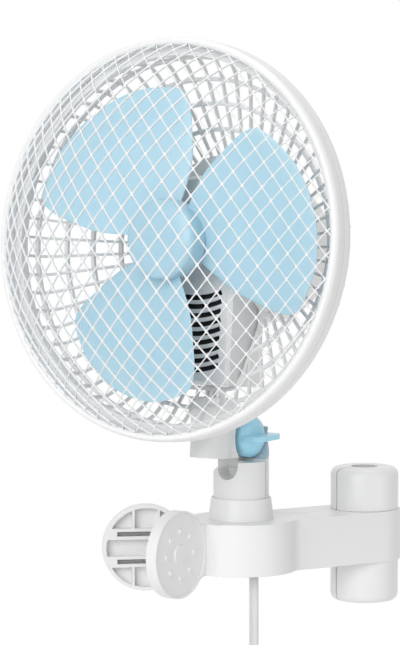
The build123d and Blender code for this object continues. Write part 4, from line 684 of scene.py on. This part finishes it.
def net_shape():
    """A sheet of diamonds over the dome: a quad at each crossing and a run of quads along each strand."""
    settings = guard()
    pitch_x, pitch_y = settings.net_across / MM, settings.net_up / MM
    strand = settings.strand_width / MM
    cell_side = math.hypot(pitch_x, pitch_y) / 2
    inset = 1 - strand / 2 * cell_side * 4 / (pitch_x * pitch_y)
    reach = dome_edge * net_crowding / math.sin(net_crowding)
    ways = {"right": (1, 0), "top": (0, 1), "left": (-1, 0), "bottom": (0, -1)}
    last = len(strand_stations) - 1
    found, points, faces = {}, [], []

    def corner(i, j, way):
        x, y = ways[way]
        return np.array(((i + x * inset) * pitch_x / 2, (j + y * inset) * pitch_y / 2))

    def vertex(i, j, first, second, k):
        """The k-th point along the side of the opening (i, j) from its first to its second corner."""
        key = {0: (i, j, first), last: (i, j, second)}.get(k, (i, j, first, second, k))
        if key not in found:
            a, b = corner(i, j, first), corner(i, j, second)
            flat = a + (b - a) * strand_stations[k]
            x, y = flat * drawn_in(np.hypot(*flat))
            found[key] = len(points)
            points.append((x, y, dome_level(math.hypot(x, y))))
        return found[key]

    def keep(*face):
        """Keep a face whose middle lies on the dome."""
        middle = np.mean([points[k][:2] for k in face], 0)
        if np.hypot(*middle) < dome_edge - net_margin:
            faces.append(face)

    columns = int(2 * reach / pitch_x) + 2
    rows = int(2 * reach / pitch_y) + 2
    for i in range(-columns, columns + 1):
        for j in range(-rows, rows + 1):
            if (i + j) % 2 or math.hypot(i * pitch_x / 2, j * pitch_y / 2) > reach + cell_side * 2:
                continue
            keep(
                vertex(i, j, "right", "top", 0),
                vertex(i + 1, j - 1, "top", "left", 0),
                vertex(i + 2, j, "left", "top", 0),
                vertex(i + 1, j + 1, "bottom", "left", 0),
            )
            for here, there in (
                ((i, j, "right", "top"), (i + 1, j + 1, "bottom", "left")),
                ((i + 1, j - 1, "top", "left"), (i, j, "right", "bottom")),
            ):
                for k in range(last):
                    keep(vertex(*here, k), vertex(*there, k), vertex(*there, k + 1), vertex(*here, k + 1))
    used = sorted({k for face in faces for k in face})
    renamed = {k: n for n, k in enumerate(used)}
    shape = Shape()
    shape.add([points[k] for k in used], [[renamed[k] for k in face] for face in faces])
    return shape


def guard_ring(name, node, profile, eases):
    """A ring of the guards, turned from its profile."""
    ring = Shape()
    ring.lathe(rounded(profile, eases), 192)
    add_piece(name, ring, HEAD, "guard", "head", (node,), sharp=60)


class CLIPFAN_OT_front_guard(bpy.types.Operator):
    """Front ring with its rolled lip and the dome of diamond net"""

    bl_idname = "clipfan.front_guard"
    bl_label = "Front guard"

    def execute(self, context):
        net = add_piece("front_net", net_shape(), HEAD, "guard", "head", ("front_grille",), sharp=180)
        modify(net, "SOLIDIFY", thickness=guard().strand_depth, offset=-1.0, use_even_offset=False)
        modify(net, "SUBSURF", levels=1, render_levels=1)
        seam, lip = ring_split + 0.2, ring_inner + lip_inset
        profile = [
            (lip, seam), (lip, ring_front - 0.8), (ring_inner + 3.0, ring_front),
            (ring_radius - 1.4, ring_front), (ring_radius, ring_front - 2.4), (ring_radius, seam),
        ]
        guard_ring("front_ring", "front_grille", profile, [0.3, 0.8, 0.8, 1.6, 1.6, 0.3])
        return {"FINISHED"}


def rib_level(radius):
    """Depth of the back of the rear guard at a radius."""
    share = (bend_radius - radius) / (bend_radius - plate_radius)
    return bend_level + (plate_level - plate_depth / 2 - bend_level) * min(max(share, 0), 1)


def chin_exit(angle):
    """Radius at which a ray from the motor axis leaves the chin of the cover, or 0 where it misses it."""
    x, y = abs(math.cos(angle)), -math.sin(angle)
    if y <= 0 or plate_radius * x > chin_half + chin_room:
        return 0.0
    return min((chin_half + chin_room) / max(x, 1e-6), (-chin_bottom + chin_room) / y)


def beside_chin(radius):
    """Angle at which a circle of a radius comes out from under the chin, on the right."""
    return -math.acos((chin_half + chin_room) / radius)


def chin_frame():
    """Path of the bar that frames the chin: down one side, under it and up the other."""
    edge = chin_half + chin_room + bar_half[0]
    base = chin_bottom - chin_room - bar_half[0]
    top = -math.sqrt(chin_frame_top ** 2 - edge ** 2)
    corners = [(edge, top), (edge, base), (-edge, base), (-edge, top)]
    outline = rounded(corners, [0, chin_corner, chin_corner, 0], closed=False, steps=6)
    flat = []
    for first, second in zip(outline, outline[1:]):
        steps = max(int(np.linalg.norm(second - first) / frame_step), 1)
        flat += [first + (second - first) * n / steps for n in range(steps)]
    flat.append(outline[-1])
    return np.array([(x, y, rib_level(math.hypot(x, y))) for x, y in flat])


class CLIPFAN_OT_rear_guard(bpy.types.Operator):
    """Rear ring, ribs that turn in behind the blades, hoops, centre plate and the frame round the chin"""

    bl_idname = "clipfan.rear_guard"
    bl_label = "Rear guard"

    def execute(self, context):
        cage = Shape()
        half_width, half_depth = bar_half
        rib_half = guard().rib_width / MM / 2
        section = rounded(box(-rib_half, rib_half, -half_depth, half_depth), 0.45, steps=1)
        for angle in np.arange(guard().rib_count) * 2 * math.pi / guard().rib_count:
            inner = max(plate_radius - plate_depth / 2, chin_exit(angle) + half_width)
            corners = [(bend_radius, ring_back + 2), (bend_radius, bend_level + 1), (inner, rib_level(inner))]
            line = rounded(corners, [0, bend_ease, 0], closed=False, steps=7)
            path = [polar(radius, angle, level) for radius, level in line]
            cage.sweep(path, section, np.cross(polar(1.0, angle), level_up))

        hoop = box(-half_width, half_width, -half_depth, half_depth)
        spots = [(radius, rib_level(radius)) for radius in hoop_radii]
        spots.append((bend_radius + bend_hoop[0], bend_level + bend_hoop[1]))
        for radius, level in spots:
            ring = rounded([(radius + x, level + y) for x, y in hoop], 0.5, steps=2)
            if radius < chin_reach:
                cage.lathe(ring, 120, start=beside_chin)
            else:
                cage.lathe(ring, 160)
        plate = box(plate_opening, plate_radius, plate_level - plate_depth, plate_level)
        cage.lathe(rounded(plate, 0.6, steps=2), 96, start=beside_chin)
        path = chin_frame()
        cage.sweep(path, rounded(hoop, 0.5, steps=2), np.cross(np.gradient(path, axis=0), level_up))
        add_piece("rear_cage", cage, HEAD, "guard", "head", ("rear_grille",), sharp=50)

        seam = ring_split - 0.15
        profile = [
            (rear_rim_radius, seam), (ring_radius, seam), (ring_radius, ring_back + 1.2),
            (ring_radius - 1.6, ring_back), (rear_rim_radius, ring_back),
        ]
        guard_ring("rear_ring", "rear_grille", profile, [0.3, 0.35, 0.9, 0.9, 1.2])
        return {"FINISHED"}


# ---------------------------------------------------------------- propeller
blade_count = 3
blade_radius, blade_level = 92.0, -9.5
blade_half_angle, blade_phase = math.radians(37.0), math.radians(10.0)
blade_root = (15.0, 15.0)
blade_middle = (52.0, 0.0)
cap_radius, cap_back = 22.4, -9.0
cap_wall = 1.8
sleeve_radius, shaft_hole = 5.5, 3.06
spoke_count = 6
# Outwards from the middle of a blade: share of its outline, and thickness
blade_sections = (
    (0.12, 1.8), (0.3, 1.8), (0.48, 1.8), (0.64, 1.75), (0.78, 1.65), (0.88, 1.5), (0.95, 1.3), (0.985, 1.0),
    (1.0, 0.35),
)


def blade_outline(steps=7, closing=8):
    """Closed outline of a blade that points along x: a smooth line through points and their mirror."""
    root = np.array(blade_root)
    tip = polar(blade_radius, blade_half_angle)[:2]
    bulge = np.array((0.52, 0.5)) * (root + tip) + (0, 7.0)
    upper = [
        root, (root + bulge) / 2 + (0, 3.2), bulge, (bulge + tip) / 2 + (0, 0.8), tip * (0.965, 0.885),
        (84.4, 31.8), (90.2, 15.5),
    ]
    points = np.array([(x, -y) for x, y in upper] + [(blade_radius - 0.2, 0.0)] + upper[::-1])
    last = len(points) - 1
    line = []
    for k in range(last):
        before, first, second, after = points[[max(k - 1, 0), k, k + 1, min(k + 2, last)]]
        for t in np.linspace(0, 1, steps, endpoint=False):
            line.append(0.5 * (
                2 * first + (second - before) * t
                + (2 * before - 5 * first + 4 * second - after) * t ** 2
                + (3 * first - before - 3 * second + after) * t ** 3
            ))
    line += [points[-1] + (points[0] - points[-1]) * t for t in np.linspace(0, 1, closing, endpoint=False)]
    return np.array(line)


def blade_surface(x, y):
    """Height of the middle of a blade: twisted, and cupped a little."""
    pitch = np.radians(np.interp(x, (14.0, 55.0, 100.0), (17.0, 12.5, 9.5)))
    cup = 2.2 * (1 - (y / 50.0) ** 2) * np.clip((x - 15) / 40.0, 0, 1)
    return blade_level + y * np.tan(pitch) - cup + 1.0


class CLIPFAN_OT_propeller(bpy.types.Operator):
    """Three twisted blades with soft rims, and the cap with its rounded shoulder"""

    bl_idname = "clipfan.propeller"
    bl_label = "Propeller"

    def execute(self, context):
        outline = blade_outline()
        middle = np.array(blade_middle)
        faces = [(share, thick / 2) for share, thick in blade_sections]
        faces += [(share, -half) for share, half in faces[::-1]]
        propeller = Shape()
        for blade in range(blade_count):
            turn = blade_phase + 2 * math.pi * blade / blade_count
            rows = []
            for share, rise in faces:
                x, y = (middle + (outline - middle) * share).T
                height = blade_surface(x, y) + rise
                rows.append(list(zip(
                    x * math.cos(turn) - y * math.sin(turn), x * math.sin(turn) + y * math.cos(turn), height,
                )))
            propeller.stack(rows)
        inside = cap_radius - cap_wall
        cap = rounded(
            [(0, 7.2), (12.0, 6.9), (18.5, 5.9), (cap_radius, 3.6), (cap_radius, cap_back),
             (inside, cap_back), (inside, 2.4), (sleeve_radius, 2.4), (sleeve_radius, cap_back),
             (shaft_hole, cap_back), (shaft_hole, 3.1), (0, 3.1)],
            [0, 4.0, 4.0, 2.2, 0.5, 0.5, 1.0, 1.0, 0.4, 0.2, 0.2, 0], closed=False,
        )
        propeller.lathe(cap, 96, closed=False)
        spoke_level, spoke_section = -2.6, box(-0.6, 0.6, -4.8, 5.2)
        for angle in np.arange(spoke_count) * 2 * math.pi / spoke_count:
            path = [polar(radius, angle, spoke_level) for radius in (sleeve_radius - 0.3, inside + 0.3)]
            propeller.sweep(path, spoke_section, np.cross(polar(1.0, angle), level_up))
        add_piece("propeller_moulded", propeller, HEAD, "blades", "rotor", ("propeller",), sharp=48)
        return {"FINISHED"}


# ---------------------------------------------------------------- head
# place of the near-black gauze behind the vents, which is painted shade inside the cover
screen_top, screen_inset = -28.0, 3.4
screen_levels = (-36.2, -36.7)


class CLIPFAN_OT_motor_covers(bpy.types.Operator):
    """Front and rear covers of the motor, with a near-black gauze behind the curved vents as painted shade
    inside them
    """

    bl_idname = "clipfan.motor_covers"
    bl_label = "Motor covers"

    def execute(self, context):
        soften("motor_front_cover", "housing", 0.3, flatten=False)
        soften("motor_rear_cover", "housing", 0.3, flatten=False)
        half = chin_half - screen_inset
        outline = rounded(box(-half, half, chin_bottom + 3.0, screen_top), [6, 6, 2, 2])
        # a near-black sheet behind the vents: painted shade
        gauze = Shape()
        gauze.stack([[(x, y, level) for x, y in outline] for level in screen_levels])
        add_piece("vent_shade_screen", gauze, HEAD, "gauze", "head")
        return {"FINISHED"}


class CLIPFAN_OT_motor(bpy.types.Operator):
    """Finishes of the motor, its gearbox and its knobs"""

    bl_idname = "clipfan.motor"
    bl_label = "Motor and gearbox"

    def execute(self, context):
        soften("oscillation_knob", "housing", 0.4)
        soften("speed_knob", "dial", 0.4)
        for finish_name, nodes in (
            ("core", ("stator_core", "rotor")),
            ("copper", ("stator_windings",)),
            ("zinc", ("motor_front_bracket", "motor_rear_bracket")),
            ("brass", ("bearing_bushes", "shaft_worm")),
            ("shaft", ("motor_shaft",)),
            ("gear", ("worm_gear",)),
            ("stem", ("osc_stem", "crank_gear", "link_arm")),
            ("housing", ("gearbox_case",)),
            ("dial", ("speed_switch",)),
        ):
            for node in nodes:
                finish_node(node, finish_name)
        return {"FINISHED"}


# ---------------------------------------------------------------- neck, in millimetres of KNOB
cheek_half, arm_share = 8.0, 0.45       # past its cheek the bracket's arm keeps this share of its width
knob_radius, knob_low, knob_side, knob_high = 12.5, 1.6, 5.4, 12.0
bolt_room, bolt_end = 3.6, 10.4
wing_turn = math.radians(6.0)
wing_reach, wing_half, wing_low, wing_top = 12.0, 1.5, 4.0, 21.1
wing_ease = 0.07                # how much smaller the wing's outline is where a section's share is 0
# Through the thickness of the wing: place, and share
wing_sections = ((-1.0, 0.82), (-0.9, 0.95), (-0.6, 1.0), (0.6, 1.0), (0.9, 0.95), (1.0, 0.82))


def slimmed(point):
    """The bracket's arm drawn in at its sides, past the cheek of the tilt joint."""
    aside = float((point - tilt_centre) @ side)
    spare = abs(aside) - cheek_half * MM
    if spare <= 0:
        return point
    return point - side * math.copysign(spare * (1 - arm_share), aside)


def knob_shape():
    """A domed knob with a bore for the bolt and a flat wing across it."""
    knob = Shape()
    turned = rounded(
        [(bolt_room, knob_low), (knob_radius - 0.6, knob_low), (knob_radius, knob_low + knob_side),
         (knob_radius * 0.8, knob_high - 1.5), (knob_radius * 0.42, knob_high), (0, knob_high + 0.1)],
        [0, 1.0, 2.0, 3.5, 3.0, 0], closed=False, steps=6,
    )
    knob.lathe(turned, 72, closed=False)
    knob.lathe([(0, bolt_end), (bolt_room, bolt_end), (bolt_room, knob_low)], 72, closed=False)
    wing = rounded(box(-wing_reach, wing_reach, wing_low, wing_top), [1.5, 1.5, 5.5, 5.5], steps=8)
    middle = (knob_low + wing_top) / 2
    rows = []
    for across, share in wing_sections:
        scale = 1 - wing_ease * (1 - share)
        y = wing_half * across
        rows.append([
            (x * scale * math.cos(wing_turn) - y * math.sin(wing_turn),
             x * scale * math.sin(wing_turn) + y * math.cos(wing_turn), middle + (z - middle) * scale)
            for x, z in wing
        ])
    knob.stack(rows)
    return knob


class CLIPFAN_OT_neck(bpy.types.Operator):
    """Collar, neck shells, tilt bracket and the blue knob"""

    bl_idname = "clipfan.neck"
    bl_label = "Neck and tilt joint"

    def execute(self, context):
        soften("neck_collar", "housing", 0.5)
        soften("neck_front", "housing", 0.35)
        soften("neck_rear", "housing", 0.35)
        soften("tilt_bracket", "housing", 0.5, reshape=slimmed)
        add_piece("tilt_knob_moulded", knob_shape(), KNOB, "knob", "tilt_lock", ("tilt_knob",), sharp=50)
        finish_node("knob_insert", "brass")
        finish_node("tilt_washer", "bolt")
        finish_node("tilt_bolt", "bolt")
        return {"FINISHED"}


class CLIPFAN_OT_clip(bpy.types.Operator):
    """Both halves of the clip, pads, pivot pin and spring"""

    bl_idname = "clipfan.clip"
    bl_label = "Clip"

    def execute(self, context):
        for part, finish_name, edge in (("clip", "housing", 0.35), ("pad", "pads", 0.3)):
            for half in ("front", "back"):
                soften(f"{half}_{part}", finish_name, edge, flatten=False)
        finish_node("clip_spring", "spring")
        finish_node("clip_pivot_pin", "pin")
        return {"FINISHED"}


# ---------------------------------------------------------------- screws
screw_steps, thread_steps = 48, 24
thread_pitch, thread_flank = 0.9, 0.32
core_share = 0.8                # of the thread's radius
# Up a pan head and down into its cross: share of the radius, share of the height
pan_sections = ((1.0, 0.0), (1.0, 0.45), (0.93, 0.78), (0.74, 1.0))
recess_sections = ((1.04, 1.0), (1.0, 0.96), (0.8, 0.3))
case_screw = (2.8, 1.4, 1.5)    # radius and height of the head, radius of the thread
rim_screw = (2.2, 1.4, 1.2)


def screw_shape(head_radius, head_height, thread_radius, length):
    """A pan head with a cross recess on top of z 0, and a threaded shank below it."""
    arm, reach = head_radius * 0.17, head_radius * 0.52

    def cross(angle):
        """Radius of the recess's rim at an angle."""
        local = (angle + math.pi / 4) % (math.pi / 2) - math.pi / 4
        return min(reach / math.cos(local), arm / max(abs(math.sin(local)), 1e-6), reach * 1.05)

    angles = [2 * math.pi * k / screw_steps for k in range(screw_steps)]
    rims = ([head_radius] * screw_steps, [cross(angle) for angle in angles])
    rows = []
    for rim, sections in zip(rims, (pan_sections, recess_sections)):
        for share, level in sections:
            height = head_height * level
            rows.append([polar(radius * share, angle, height) for radius, angle in zip(rim, angles)])
    shape = Shape()
    shape.stack(rows)
    core = thread_radius * core_share
    turns = max(int(length / thread_pitch), 2)
    profile = [(0, 0.05), (core, 0.05)]
    for k in range(turns):
        level = -length * (k + 0.5) / turns
        profile += [(core, level + thread_flank), (thread_radius, level), (core, level - thread_flank)]
    profile += [(thread_radius * 0.5, -length), (0, -length)]
    shape.lathe(profile, thread_steps, closed=False)
    return shape


def screw_sets():
    """Each node of screws with the places of its heads and its sizes."""

    def behind(radius, level):
        """Four places on a circle of the head, where screws go in from behind."""
        spots = [HEAD.put(polar(radius, math.pi / 4 + math.pi / 2 * k, level)) for k in range(4)]
        return [Place(spot, side, -upright, -nose) for spot in spots]

    def in_band(way):
        """Two places in the jaw band, where screws go out into it from the pole's side."""
        spots = [np.array((0, way * 10.45, level)) * MM for level in (-8.0, 8.0)]
        return [Place(spot, (way, 0, 0), (0, 0, 1), (0, -way, 0)) for spot in spots]

    neck_back = hub_centre + level_up * 36.0 * MM - ahead * 8.05 * MM
    neck = [Place(neck_back + side * aside * MM, side, -level_up, -ahead) for aside in (-8.5, 8.5)]
    return (
        ("ring_screws", behind(109.5, -13.55), (*rim_screw, 12.0)),
        ("cover_screws", behind(46.5, -66.3), (*case_screw, 8.0)),
        ("neck_screws", neck, (*case_screw, 15.9)),
        ("front_pad_screws", in_band(-1), (*case_screw, 10.3)),
        ("back_pad_screws", in_band(1), (*case_screw, 10.3)),
    )


class CLIPFAN_OT_screws(bpy.types.Operator):
    """Cross-head screws of the covers, guard, neck and pads"""

    bl_idname = "clipfan.screws"
    bl_label = "Screws"

    def execute(self, context):
        for node, places, sizes in screw_sets():
            one = screw_shape(*sizes)
            group = Shape()
            for place in places:
                group.add(place.put(one.points) / MM, one.faces)
            body = frame["nodes"][node]["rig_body"]
            add_piece(node + "_turned", group, WORLD, "screws", body, (node,), sharp=35)
        return {"FINISHED"}


# ---------------------------------------------------------------- power cord
view_turn = math.radians(-31.3)
cord_side = np.array((math.cos(view_turn), math.sin(view_turn), 0.0))
cord_away = np.array((-math.sin(view_turn), math.cos(view_turn), 0.0))
cord_exit = np.array((-89.5, -17.8, -15.0)) * MM
DROP = Place(cord_exit, cord_away, level_up, cord_side)         # x backwards, y up, z across the cord
cord_width, cord_thickness = 5.4, 2.9
cord_facets = 28
groove_share, groove_depth = 0.25, 0.42         # share of the width that dips, and of the thickness there
route = [(0, 12), (0, -55), (-11.0, -74.1), (-30.1, -85.1)]
coil_gap = 0.6
coil_radius = 36.3
layer_half_turns = 7
half_turn_steps = 8
plug_lead = 20.0


def cord_controls():
    """Control points of the cord in the plane it hangs in: the route, then a coil of two layers."""
    layer_pitch = cord_width + coil_gap
    growth = (cord_thickness + coil_gap) / 2
    heading = unit(np.array(route[-1]) - np.array(route[-2]))
    start = np.array(route[-1]) + heading * cord_width
    points = [(*spot, 0.0) for spot in (*route, start)]
    angle = math.atan2(-heading[0], heading[1])
    radius = coil_radius
    centre = start - polar(radius, angle)[:2]
    outward = 1 / math.cos(math.pi / half_turn_steps / 2) ** 0.5

    # Depth at both ends of each half turn, and how the radius changes after it. The last is half of one
    inward, outer = (0.0, 0.0, -1), (layer_pitch, layer_pitch, 1)
    laps = [inward] * layer_half_turns + [(0.0, layer_pitch, 1)] + [outer] * (layer_half_turns - 1)
    for first, last, way in (*laps, (layer_pitch, layer_pitch, 0)):
        count = half_turn_steps if way else half_turn_steps // 2
        for k in range(1, count + 1):
            spot = centre + polar(radius * outward, angle + math.pi * k / half_turn_steps)[:2]
            points.append((*spot, first + (last - first) * k / count))
        angle += math.pi * count / half_turn_steps
        centre = centre - polar(way * growth, angle)[:2]
        radius += way * growth
    end = centre + polar(radius, angle)[:2]
    onward = polar(1.0, angle + math.pi / 2)[:2]
    points += [(*(end + onward * plug_lead * share), layer_pitch) for share in (0.5, 1.0)]
    return points


def route_line(points):
    """The smooth line of the cord, as points of its own spline."""
    curve = bpy.data.curves.new("cord_route", "CURVE")
    curve.dimensions = "3D"
    curve.resolution_u = 6
    spline = curve.splines.new("NURBS")
    spline.points.add(len(points) - 1)
    for control, place in zip(spline.points, DROP.put(points)):
        control.co = (*place, 1.0)
    spline.order_u = 3
    spline.use_endpoint_u = True
    line = new_object("cord_route", curve)
    mesh = bpy.data.meshes.new_from_object(line)
    found = np.array([v.co for v in mesh.vertices])
    bpy.data.objects.remove(line)
    bpy.data.curves.remove(curve)
    bpy.data.meshes.remove(mesh)
    return found


def cord_section():
    """Outline across the flat twin cord: two round cores with a groove between them."""
    thick = cord_thickness / 2
    spread = cord_width / 2 - thick
    section = []
    for angle in np.linspace(0, 2 * math.pi, cord_facets, endpoint=False):
        lobe = math.cos(angle)
        centre = math.copysign(spread, lobe)
        if abs(lobe) < groove_share:
            section.append((centre * abs(lobe) / groove_share, thick * math.sin(angle) * groove_depth))
        else:
            section.append((centre + thick * lobe, thick * math.sin(angle)))
    return section


class CLIPFAN_OT_cord(bpy.types.Operator):
    """Flat twin cord with its groove, hanging coil, tie, strain relief and plug"""

    bl_idname = "clipfan.cord"
    bl_label = "Power cord"

    def execute(self, context):
        line = route_line(cord_controls())
        cord = Shape()
        cord.sweep(line / MM, cord_section(), cord_side)
        piece = add_piece(
            "mains_cord", cord, WORLD, "cord", "root", ("power_cord_drop", "power_cord_coil"), sharp=60
        )
        plug = soften("mains_plug", "cord", 0.8)
        tie = soften("cord_tie", "tie", 0.25)
        soften("strain_relief", "cord", 0.5)
        finish_node("plug_pins", "brass")
        return {"FINISHED"}


# ---------------------------------------------------------------- stage
floor_radius = 9.0
floor_haze = 1.3                # metres over which the floor fades to plain white
near_glow = 0.86                # share of the floor's own white close to the part, where a shadow lies


def aimed(name, data, place, sight):
    """A camera or lamp at a place, turned to look along a direction."""
    made = new_object(name, data)
    made.location = place
    made.rotation_mode = "QUATERNION"
    made.rotation_quaternion = sight.to_track_quat("-Z", "Y")
    return made


def seen_rays(tree):
    """1 for rays of the camera, of gloss and of glass, and 0 for those of diffuse light."""
    seen, gloss, glass = (
        tree.node("ShaderNodeLightPath", output=name)
        for name in ("Is Camera Ray", "Is Glossy Ray", "Is Transmission Ray")
    )
    return (seen + gloss + glass).limited()


class CLIPFAN_OT_stage(bpy.types.Operator):
    """Camera, lamps, white surroundings and the pale floor"""

    bl_idname = "clipfan.stage"
    bl_label = "Stage"

    def execute(self, context):
        settings = studio()
        scene = context.scene
        scene.view_settings.view_transform = "Standard"
        data = bpy.data.cameras.new("camera")
        data.lens = settings.lens
        data.sensor_width = 36.0
        sight = Vector(unit(settings.camera_sight))
        scene.camera = aimed("camera", data, settings.camera_place, sight)

        right = sight.cross(Vector((0, 0, 1))).normalized()
        centre = Vector((cad_box[0] + cad_box[1]) / 2)
        for name, back, aside, rise, size, power in (
            ("key", 1.6, -0.8, 0.7, 1.3, settings.key_power),
            ("fill", 1.2, 1.6, 0.3, 1.2, settings.fill_power),
            ("top", -0.3, 0.0, 1.6, 1.2, settings.top_power),
        ):
            light = bpy.data.lights.new(name, "AREA")
            light.size = size
            light.energy = power
            place = centre - sight * back + right * aside + Vector((0, 0, rise))
            aimed(name, light, place, centre - place)

        white = {"Color": (1, 1, 1, 1), "Strength": 1.0}
        scene.world = bpy.data.worlds.new("surroundings")
        tree = Tree(scene.world)
        room = tree.node("ShaderNodeBackground", {}, {**white, "Strength": settings.room_light})
        seen = tree.node("ShaderNodeBackground", {}, white)
        both = tree.node("ShaderNodeMixShader", {}, {0: seen_rays(tree), 1: room, 2: seen})
        tree.node("ShaderNodeOutputWorld", {}, {"Surface": both})

        mesh = bpy.data.meshes.new("floor")
        rim = [polar(floor_radius, 2 * math.pi * k / 96) for k in range(96)]
        mesh.from_pydata(rim, [], [tuple(range(96))])
        floor = new_object("floor", mesh)
        floor.location = (centre.x, centre.y, cad_box[0].z - settings.floor_drop)
        material = bpy.data.materials.new("floor_white")
        tree = Tree(material)
        colour = tree.tinted(tree.noise(60 * MM, 3.0), (0.94, 0.94, 0.94), (0.97, 0.97, 0.97))
        matt = tree.node("ShaderNodeBsdfDiffuse", {}, {"Color": colour})
        glow = tree.node("ShaderNodeEmission", {}, white)
        far = (tree.length(tree.place()) / floor_haze).limited()
        share = seen_rays(tree) * (near_glow + far * (1 - near_glow))
        both = tree.node("ShaderNodeMixShader", {}, {0: share, 1: matt, 2: glow})
        tree.node("ShaderNodeOutputMaterial", {}, {"Surface": both})
        mesh.materials.append(material)
        return {"FINISHED"}


# ---------------------------------------------------------------- add-on
OPERATORS = (
    CLIPFAN_OT_front_guard,
    CLIPFAN_OT_rear_guard,
    CLIPFAN_OT_propeller,
    CLIPFAN_OT_motor_covers,
    CLIPFAN_OT_motor,
    CLIPFAN_OT_neck,
    CLIPFAN_OT_clip,
    CLIPFAN_OT_screws,
    CLIPFAN_OT_cord,
    CLIPFAN_OT_stage,
)


class CLIPFAN_PT_panel(bpy.types.Panel):
    """Sizes, colours and the pieces of the clip fan"""

    bl_idname = "CLIPFAN_PT_panel"
    bl_label = "Clip fan"
    bl_space_type = "VIEW_3D"
    bl_region_type = "UI"
    bl_category = "Clip fan"

    def draw(self, context):
        for settings in (guard(), colours(), studio()):
            rows = self.layout.box()
            for key in settings.bl_rna.properties.keys():
                if key not in ("rna_type", "name"):
                    rows.prop(settings, key)
        for operator in OPERATORS:
            self.layout.operator(operator.bl_idname)


SETTINGS = {
    "clipfan_guard": GuardSettings,
    "clipfan_colours": ColourSettings,
    "clipfan_studio": StudioSettings,
}


def register():
    """Add the classes, and the settings to the scene."""
    for name, group in SETTINGS.items():
        bpy.utils.register_class(group)
        setattr(bpy.types.Scene, name, PointerProperty(type=group))
    for made in (*OPERATORS, CLIPFAN_PT_panel):
        bpy.utils.register_class(made)


def unregister():
    """Take the classes and settings away again."""
    for made in reversed((*OPERATORS, CLIPFAN_PT_panel)):
        bpy.utils.unregister_class(made)
    for name, group in SETTINGS.items():
        delattr(bpy.types.Scene, name)
        bpy.utils.unregister_class(group)


def main():
    """Make every piece."""
    register()
    make_finishes()
    for operator in OPERATORS:
        group, name = operator.bl_idname.split(".")
        getattr(getattr(bpy.ops, group), name)()


if __name__ == "__main__":
    main()
